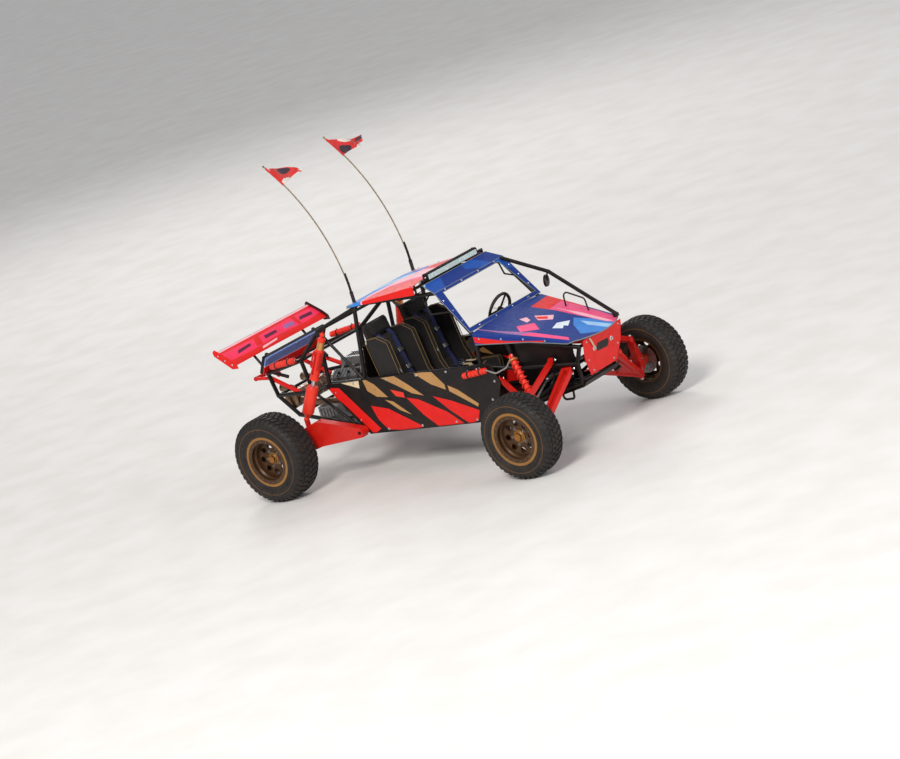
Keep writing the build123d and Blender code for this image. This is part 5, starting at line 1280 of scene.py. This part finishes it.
SEAT_MID = 0.27
SEAT_WING = mm(-215, 520, 330, 530, 340, 690, 40, 680, -20, 820, -70, 1180, -180, 1240, -322, 1225, -262,
               860, -240, 620)
SEAT_SHELL = mm(-190, 480, 330, 520, 340, 556, 0, 540, -85, 548, -140, 600, -222, 810, -318, 1330, -345,
                1352, -340, 1270, -250, 760, -230, 520)
CUSHION = mm(336, 566, 346, 598, 332, 628, 280, 634, 0, 600, -60, 594, -84, 566, -60, 552, 0, 546)
BACK = mm(-66, 610, -158, 800, -246, 1200, -256, 1228, -294, 1222, -292, 1180, -208, 812, -130, 606)
HEAD = mm(-258, 1240, -268, 1330, -300, 1364, -330, 1352, -322, 1300, -300, 1236)


def inset(outline, d):
    """The outline moved inward by d."""
    turn = sum(a[0] * b[1] - b[0] * a[1] for a, b in zip(outline, outline[1:] + outline[:1]))
    side_sign = 1 if turn > 0 else -1
    out = []
    for a, p, b in zip(outline[-1:] + outline[:-1], outline, outline[1:] + outline[:1]):
        a, p, b = Vector(a), Vector(p), Vector(b)
        u, v = (p - a).normalized(), (b - p).normalized()
        n = Vector((-u.y - v.y, u.x + v.x)) * side_sign
        n = n / max(n.length_squared, 0.35) * 2
        out.append((p[0] + n.x * d, p[1] + n.y * d))
    return out


def from_edge(outline, u, v):
    """The distance of a point from an outline."""
    best = 1e9
    for a, b in zip(outline, outline[1:] + outline[:1]):
        dx, dy = b[0] - a[0], b[1] - a[1]
        t = max(0.0, min(1.0, ((u - a[0]) * dx + (v - a[1]) * dy) / (dx * dx + dy * dy)))
        best = min(best, math.hypot(u - a[0] - dx * t, v - a[1] - dy * t))
    return best


def round_corners(outline, radius, steps=4):
    """A closed outline with arcs at its corners."""
    pts = [Vector((u, v, 0)) for u, v in outline]
    path = rounded([(pts[-1] + pts[0]) / 2, *pts, (pts[-1] + pts[0]) / 2], radius, steps)[1:-1]
    return [(p.x, p.y) for p in path]


def pad_side(outline, y0, y1, edge, swell):
    """A padded sheet in the X-Z plane between two depths, its rim rounded and its faces crowned."""
    outline = round_corners(outline, 0.03)
    mid, half = (y0 + y1) / 2, (y1 - y0) / 2

    def thick(u, v):
        d = from_edge(outline, u, v)
        t = min(1.0, d / edge)
        return (half - swell) * math.sqrt(max(0.0, 1 - (1 - t) ** 2)) + swell * min(1.0, d / 0.07) ** 0.8

    rings = [inset(outline, edge * k) for k in (0.06, 0.25, 0.6, 1.0)]
    lines = [ring + ring[:1] for ring in rings]
    return Shape().skin(outline, lambda u, v, side: Vector((u, mid + side * thick(u, v), v)), (1, -1),
                        step=0.024, lines=lines)


def slab_shape(outline, half, bevel):
    """A block of a side outline across Y, ready to be puffed."""
    n = len(outline)
    inner = inset(outline, bevel)
    rows = [(inner, -half), (outline, -half + bevel), (outline, half - bevel), (inner, half)]
    shape = Shape()
    shape.rings([[(u, y, v) for u, v in ring] for ring, y in rows], caps=False)
    for j, flip in ((0, False), (3, True)):
        tris = geometry.tessellate_polygon([[Vector((u, v, 0)) for u, v in inner]])
        shape.faces += [tuple(j * n + k for k in (tri if flip else reversed(tri))) for tri in tris]
        shape.kinds += [0] * len(tris)
    return shape


def as_mesh(shape, name):
    """A closed mesh with its faces outward."""
    mesh = bpy.data.meshes.new(name)
    mesh.from_pydata([tuple(v) for v in shape.verts], [], shape.faces)
    worked(mesh, welded, outward)
    return mesh


def baked(obj):
    """The object's mesh with its modifiers applied."""
    graph = bpy.context.evaluated_depsgraph_get()
    return bpy.data.meshes.new_from_object(obj.evaluated_get(graph))


def puffed(shape, name, voxel, cap, seams, depth):
    """Swells a closed form like a stuffed cover: cloth under pressure, then its sewn seams."""
    obj = bpy.data.objects.new(name, as_mesh(shape, name))
    bpy.context.scene.collection.objects.link(obj)
    made = obj.modifiers.new("even", "REMESH")
    made.mode, made.voxel_size = "VOXEL", voxel
    mesh = baked(obj)
    obj.modifiers.clear()
    obj.data = mesh
    start = [v.co.copy() for v in mesh.vertices]
    cover = obj.modifiers.new("cover", "CLOTH")
    cover.settings.quality = 6
    cover.settings.mass = 0.25
    cover.settings.tension_stiffness = cover.settings.compression_stiffness = 14
    cover.settings.bending_stiffness = 0.4
    cover.settings.use_pressure = True
    cover.settings.uniform_pressure_force = 4.0
    cover.settings.effector_weights.gravity = 0.0
    cover.point_cache.frame_start, cover.point_cache.frame_end = 1, 24
    for k in range(1, 21):
        bpy.context.scene.frame_set(k)
    swollen = baked(obj)
    moved = [v.co.copy() for v in swollen.vertices]
    obj.modifiers.clear()
    bpy.context.scene.frame_set(1)
    for v, a, b in zip(mesh.vertices, start, moved):
        go = b - a
        v.co = a + (go if go.length <= cap else go * (cap / go.length))
    worked(mesh, lambda work: bmesh.ops.smooth_vert(work, verts=work.verts, factor=0.5,
                                                    use_axis_x=True, use_axis_y=True, use_axis_z=True))
    finer = obj.modifiers.new("finer", "SUBSURF")
    finer.levels = finer.render_levels = 1
    mesh = baked(obj)
    obj.modifiers.clear()
    pushes = [max(math.exp(-(to_seam(v.co) / 0.0048) ** 2) for to_seam in seams) for v in mesh.vertices]
    moved = [v.co - v.normal * (depth * push) for v, push in zip(mesh.vertices, pushes)]
    for v, co in zip(mesh.vertices, moved):
        v.co = co
    bpy.data.objects.remove(obj)
    made = Shape()
    made.add([v.co.copy() for v in mesh.vertices], [tuple(p.vertices) for p in mesh.polygons])
    return made


def moved_shape(shape, offset):
    """A copy of a shape, moved."""
    copy = Shape()
    copy.verts = [v + Vector(offset) for v in shape.verts]
    copy.faces, copy.kinds = list(shape.faces), list(shape.kinds)
    return copy


def seam_lines(stations, low, high, y_half):
    """Distances to sewn lines across a pad: places between low and high, and two lines along it."""
    axis = Vector(high) - Vector(low)
    length = axis.length
    axis.normalize()
    cross = [lambda p, k=k: (p - Vector(low)).dot(axis) - k * length for k in stations]
    return cross + [lambda p, s=s: abs(p.y - s * y_half) for s in (1, -1)]


pads = {
    "cushion": puffed(slab_shape(CUSHION, 0.138, 0.014), "cushion", 0.007, 0.022,
                      seam_lines((0.22, 0.44, 0.66, 0.88), (-0.08, 0, 0.6), (0.34, 0, 0.6), 0.102), 0.007),
    "back": puffed(slab_shape(BACK, 0.138, 0.012), "back", 0.007, 0.022,
                   seam_lines((0.1, 0.28, 0.46, 0.64, 0.82), (-0.1, 0, 0.61), (-0.27, 0, 1.22), 0.102),
                   0.007),
    "head": puffed(slab_shape(HEAD, 0.118, 0.012), "head", 0.006, 0.016,
                   seam_lines((0.5,), (-0.27, 0, 1.24), (-0.3, 0, 1.36), 0.07), 0.005),
}


whole_seat = Shape()
for cover in pads.values():
    whole_seat.add(cover.verts, cover.faces)
seat_tree = BVHTree.FromPolygons([tuple(v) for v in whole_seat.verts], whole_seat.faces)


def laid(path, ways, y_mid, lift=0.0022):
    """The path dropped on a seat's pads from outside, each point against its way."""
    out = []
    for p, way in zip(path, ways):
        p, way = Vector(p), Vector(way).normalized()
        at = p - Vector((0, y_mid, 0))
        hit = seat_tree.ray_cast(at + way * 0.1, -way, 0.16)[0]
        out.append(hit + Vector((0, y_mid, 0)) + way * lift if hit else p)
    return out


def strap(shape, path, width, across, kind, thick=0.0022):
    """Flat webbing along a path, with its width the way that across points."""
    path = [Vector(p) for p in path]
    rings = []
    for i, p in enumerate(path):
        way = (path[min(i + 1, len(path) - 1)] - path[max(i - 1, 0)]).normalized()
        wide = Vector(across)
        wide = (wide - way * wide.dot(way)).normalized() * (width / 2)
        up = way.cross(wide).normalized() * (thick / 2)
        rings.append([p + wide + up, p - wide + up, p - wide - up, p + wide - up])
    return shape.rings(rings, kind)


for s, n in SIDES:
    y_mid = s * SEAT_MID
    for part, cover in pads.items():
        obj = publish(moved_shape(cover, (0, y_mid, 0)), f"seat_{n}_{part}", "seats", [SHADED_SEAT_CLOTH],
                      ("seats",), 180)
    for side_of, word in ((1, "outer"), (-1, "inner")):
        y0, y1 = sorted((y_mid + side_of * s * 0.159, y_mid + side_of * s * 0.203))
        obj = publish(pad_side(SEAT_WING, y0, y1, 0.02, 0.004), f"seat_{n}_{word}_wing", "seats", [SHADED_SEAT_CLOTH],
                      ("seats",), 60)
    shell = Shape()
    shell.skin(SEAT_SHELL, upright, (y_mid + 0.16, y_mid - 0.16))
    publish(shell, f"seat_{n}_shell", "seats", [SEAT_SIDE], ("seats",))
    piping = Shape()
    for side_of in (1, -1):
        for y in (0.1595, 0.2025):
            edge = [(u, y_mid + side_of * y, v) for u, v in round_corners(SEAT_WING, 0.03)]
            piping.tube(edge, 0.0034, 0, 6, loop=True)
    for part in (CUSHION, BACK):
        for side_of in (1, -1):
            edge = [(u, y_mid + side_of * 0.1385, v) for u, v in inset(part, 0.003)]
            piping.tube(edge, 0.003, 1, 6, loop=True)
    publish(piping, f"seat_{n}_piping", "seats", [SEAT_TAN, SHADED_SEAT_CLOTH], ("seats",))
    belts = Shape()
    for side_of in (1, -1):
        y = y_mid + side_of * 0.075
        front = (0.92, 0, 0.38)
        drop = [(-0.244 + 0.11 * i / 9, y, 1.19 - 0.48 * i / 9) for i in range(10)]
        lap_in = [(-0.086, y - side_of * 0.012, 0.68), (-0.03, y - side_of * 0.035, 0.64),
                  (0.025, y - side_of * 0.055, 0.64)]
        chest = laid(drop, [front] * 10, y_mid)
        chest += laid(lap_in, [(0.6, 0, 0.8), (0, 0, 1), (0, 0, 1)], y_mid, 0.006)
        over = [(-0.332, y, 1.205), (-0.292, y, 1.236), (-0.262, y, 1.234)]
        strap(belts, over + chest, 0.05, (0, 1, 0), 0)
        for k in (3, 6):
            belts.block((-0.02, -0.031, 0.0), (0.02, 0.031, 0.007), 0.002, 2,
                        place(chest[k], front, (0, 0, -1)))
        lap = [(-0.085 + 0.013 * i, y_mid + side_of * (0.134 - 0.012 * i), 0.7) for i in range(9)]
        lap = laid(lap, [(0.25, 0, 1)] * 9, y_mid)
        strap(belts, [(-0.11, y_mid + side_of * 0.152, 0.64), *lap], 0.048, (0.9, 0, 0.3), 0)
        belts.block((-0.024, -0.026, 0), (0.024, 0.026, 0.008), 0.002, 2,
                    place(lap[3], (0.25, 0, 1), (1, -0.9 * side_of, 0)))
        tail = [(0.005 + 0.014 * i, y_mid + side_of * (0.104 + 0.01 * math.sin(i * 0.9)), 0.7)
                for i in range(9)]
        strap(belts, laid(tail, [(0, 0, 1)] * 9, y_mid, 0.005), 0.044, (0, 1, 0), 1)
    crotch = laid([(0.31 - 0.03 * i, y_mid, 0.7) for i in range(9)], [(0, 0, 1)] * 9, y_mid)
    strap(belts, crotch, 0.046, (0, 1, 0), 1)
    buckle = laid([(0.04, y_mid, 0.7)], [(0, 0, 1)], y_mid, 0.004)[0]
    belts.turned(mm(0, 34, 12, 34, 16, 28, 20, 14), place(buckle, (0, 0, 1)), 2, 24)
    publish(belts, f"belts_{n}", "seats", [BELT, STRAP, BRIGHT])

# Frame, arms, engine and other plain pieces
for finish, names in (
        (BLACK, "frame_floor frame_main_hoop frame_roof frame_sides frame_nose_left frame_nose_right "
                "frame_nose_cross frame_rear driver_bar seat_mounts hand_loops"),
        (PANEL, "belly_pan firewall nose_panels"),
        (ARM, "front_arms trailing_arms knuckle_left knuckle_right"),
        (STEEL, "steering_rack steering_column half_shaft_left half_shaft_right"), (CAST, "engine gearbox"),
        (HEAT, "exhaust"), (SATIN, "dash steering_wheel"), (whip_finish.mat, "whips"),
        (RED, "rear_bumper")):
    dress(finish, *names.split())

# Floor, light and camera


def area_light(name, at, aim, size, power, tint):
    """A square lamp at one place, looking at another."""
    lamp = bpy.data.lights.new(name, "AREA")
    lamp.shape, lamp.size, lamp.energy, lamp.color = "SQUARE", size, power, tint
    obj = bpy.data.objects.new(name, lamp)
    obj.matrix_world = place(at, Vector(at) - Vector(aim), (1, 0, 0))
    bpy.context.scene.collection.objects.link(obj)


rows = [-200, -40, -12, -5, -2, 0, 2, 5, 12, 40, 200]
tiles = [(i * 11 + j, i * 11 + j + 1, (i + 1) * 11 + j + 1, (i + 1) * 11 + j) for i in range(10)
         for j in range(10)]
floor_finish = Finish("studio_floor")
pale = floor_finish.mix(floor_finish.noise(2.0), rgb(228, 225, 221), rgb(234, 232, 229))
floor_finish.set(Base_Color=pale, Roughness=0.75).bump(floor_finish.noise(60), 0.0004, 0.2)
mesh = bpy.data.meshes.new("studio_floor")
mesh.from_pydata([(x, y, 0) for x in rows for y in rows], [], tiles)
mesh.materials.append(floor_finish.mat)
ground = bpy.data.objects.new("studio_floor", mesh)
bpy.context.scene.collection.objects.link(ground)

world = bpy.data.worlds.new("studio")
bpy.context.scene.world = world
world.use_nodes = True
back = world.node_tree.nodes["Background"]
back.inputs["Color"].default_value = (0.96, 0.97, 1.0, 1.0)
back.inputs["Strength"].default_value = 0.5
area_light("key_light", (9.0, -19.0, 17.0), (0.2, 0, 0.7), 7.0, 4600, (1.0, 0.965, 0.92))
area_light("fill_light", (20.0, 2.0, 9.0), (0.4, 0, 0.7), 9.0, 1000, (0.94, 0.97, 1.0))
area_light("back_light", (-14.0, 13.0, 13.0), (0, 0, 0.9), 7.0, 1100, (1.0, 0.98, 0.95))

az, el, roll = (math.radians(a) for a in (42.375, 11.83, -17.427))
aim, reach = Vector((0.118, 0, 0.8)), 31.919
behind = Vector((math.sin(az) * math.cos(el), -math.cos(az) * math.cos(el), math.sin(el)))
right = Vector((math.cos(az), math.sin(az), 0))
over = behind.cross(right)
turned_right = right * math.cos(roll) + over * math.sin(roll)
turned_up = over * math.cos(roll) - right * math.sin(roll)
lens = bpy.data.cameras.new("photo_camera")
lens.lens, lens.sensor_width, lens.clip_end = 144.0, 36.0, 600.0
lens.shift_x, lens.shift_y = 0.00303, -0.01796
camera = bpy.data.objects.new("photo_camera", lens)
turn = Matrix((turned_right, turned_up, behind)).transposed().to_4x4()
camera.matrix_world = Matrix.Translation(aim + behind * reach) @ turn
bpy.context.scene.collection.objects.link(camera)
bpy.context.scene.camera = camera
bpy.context.scene.view_settings.view_transform = "Standard"
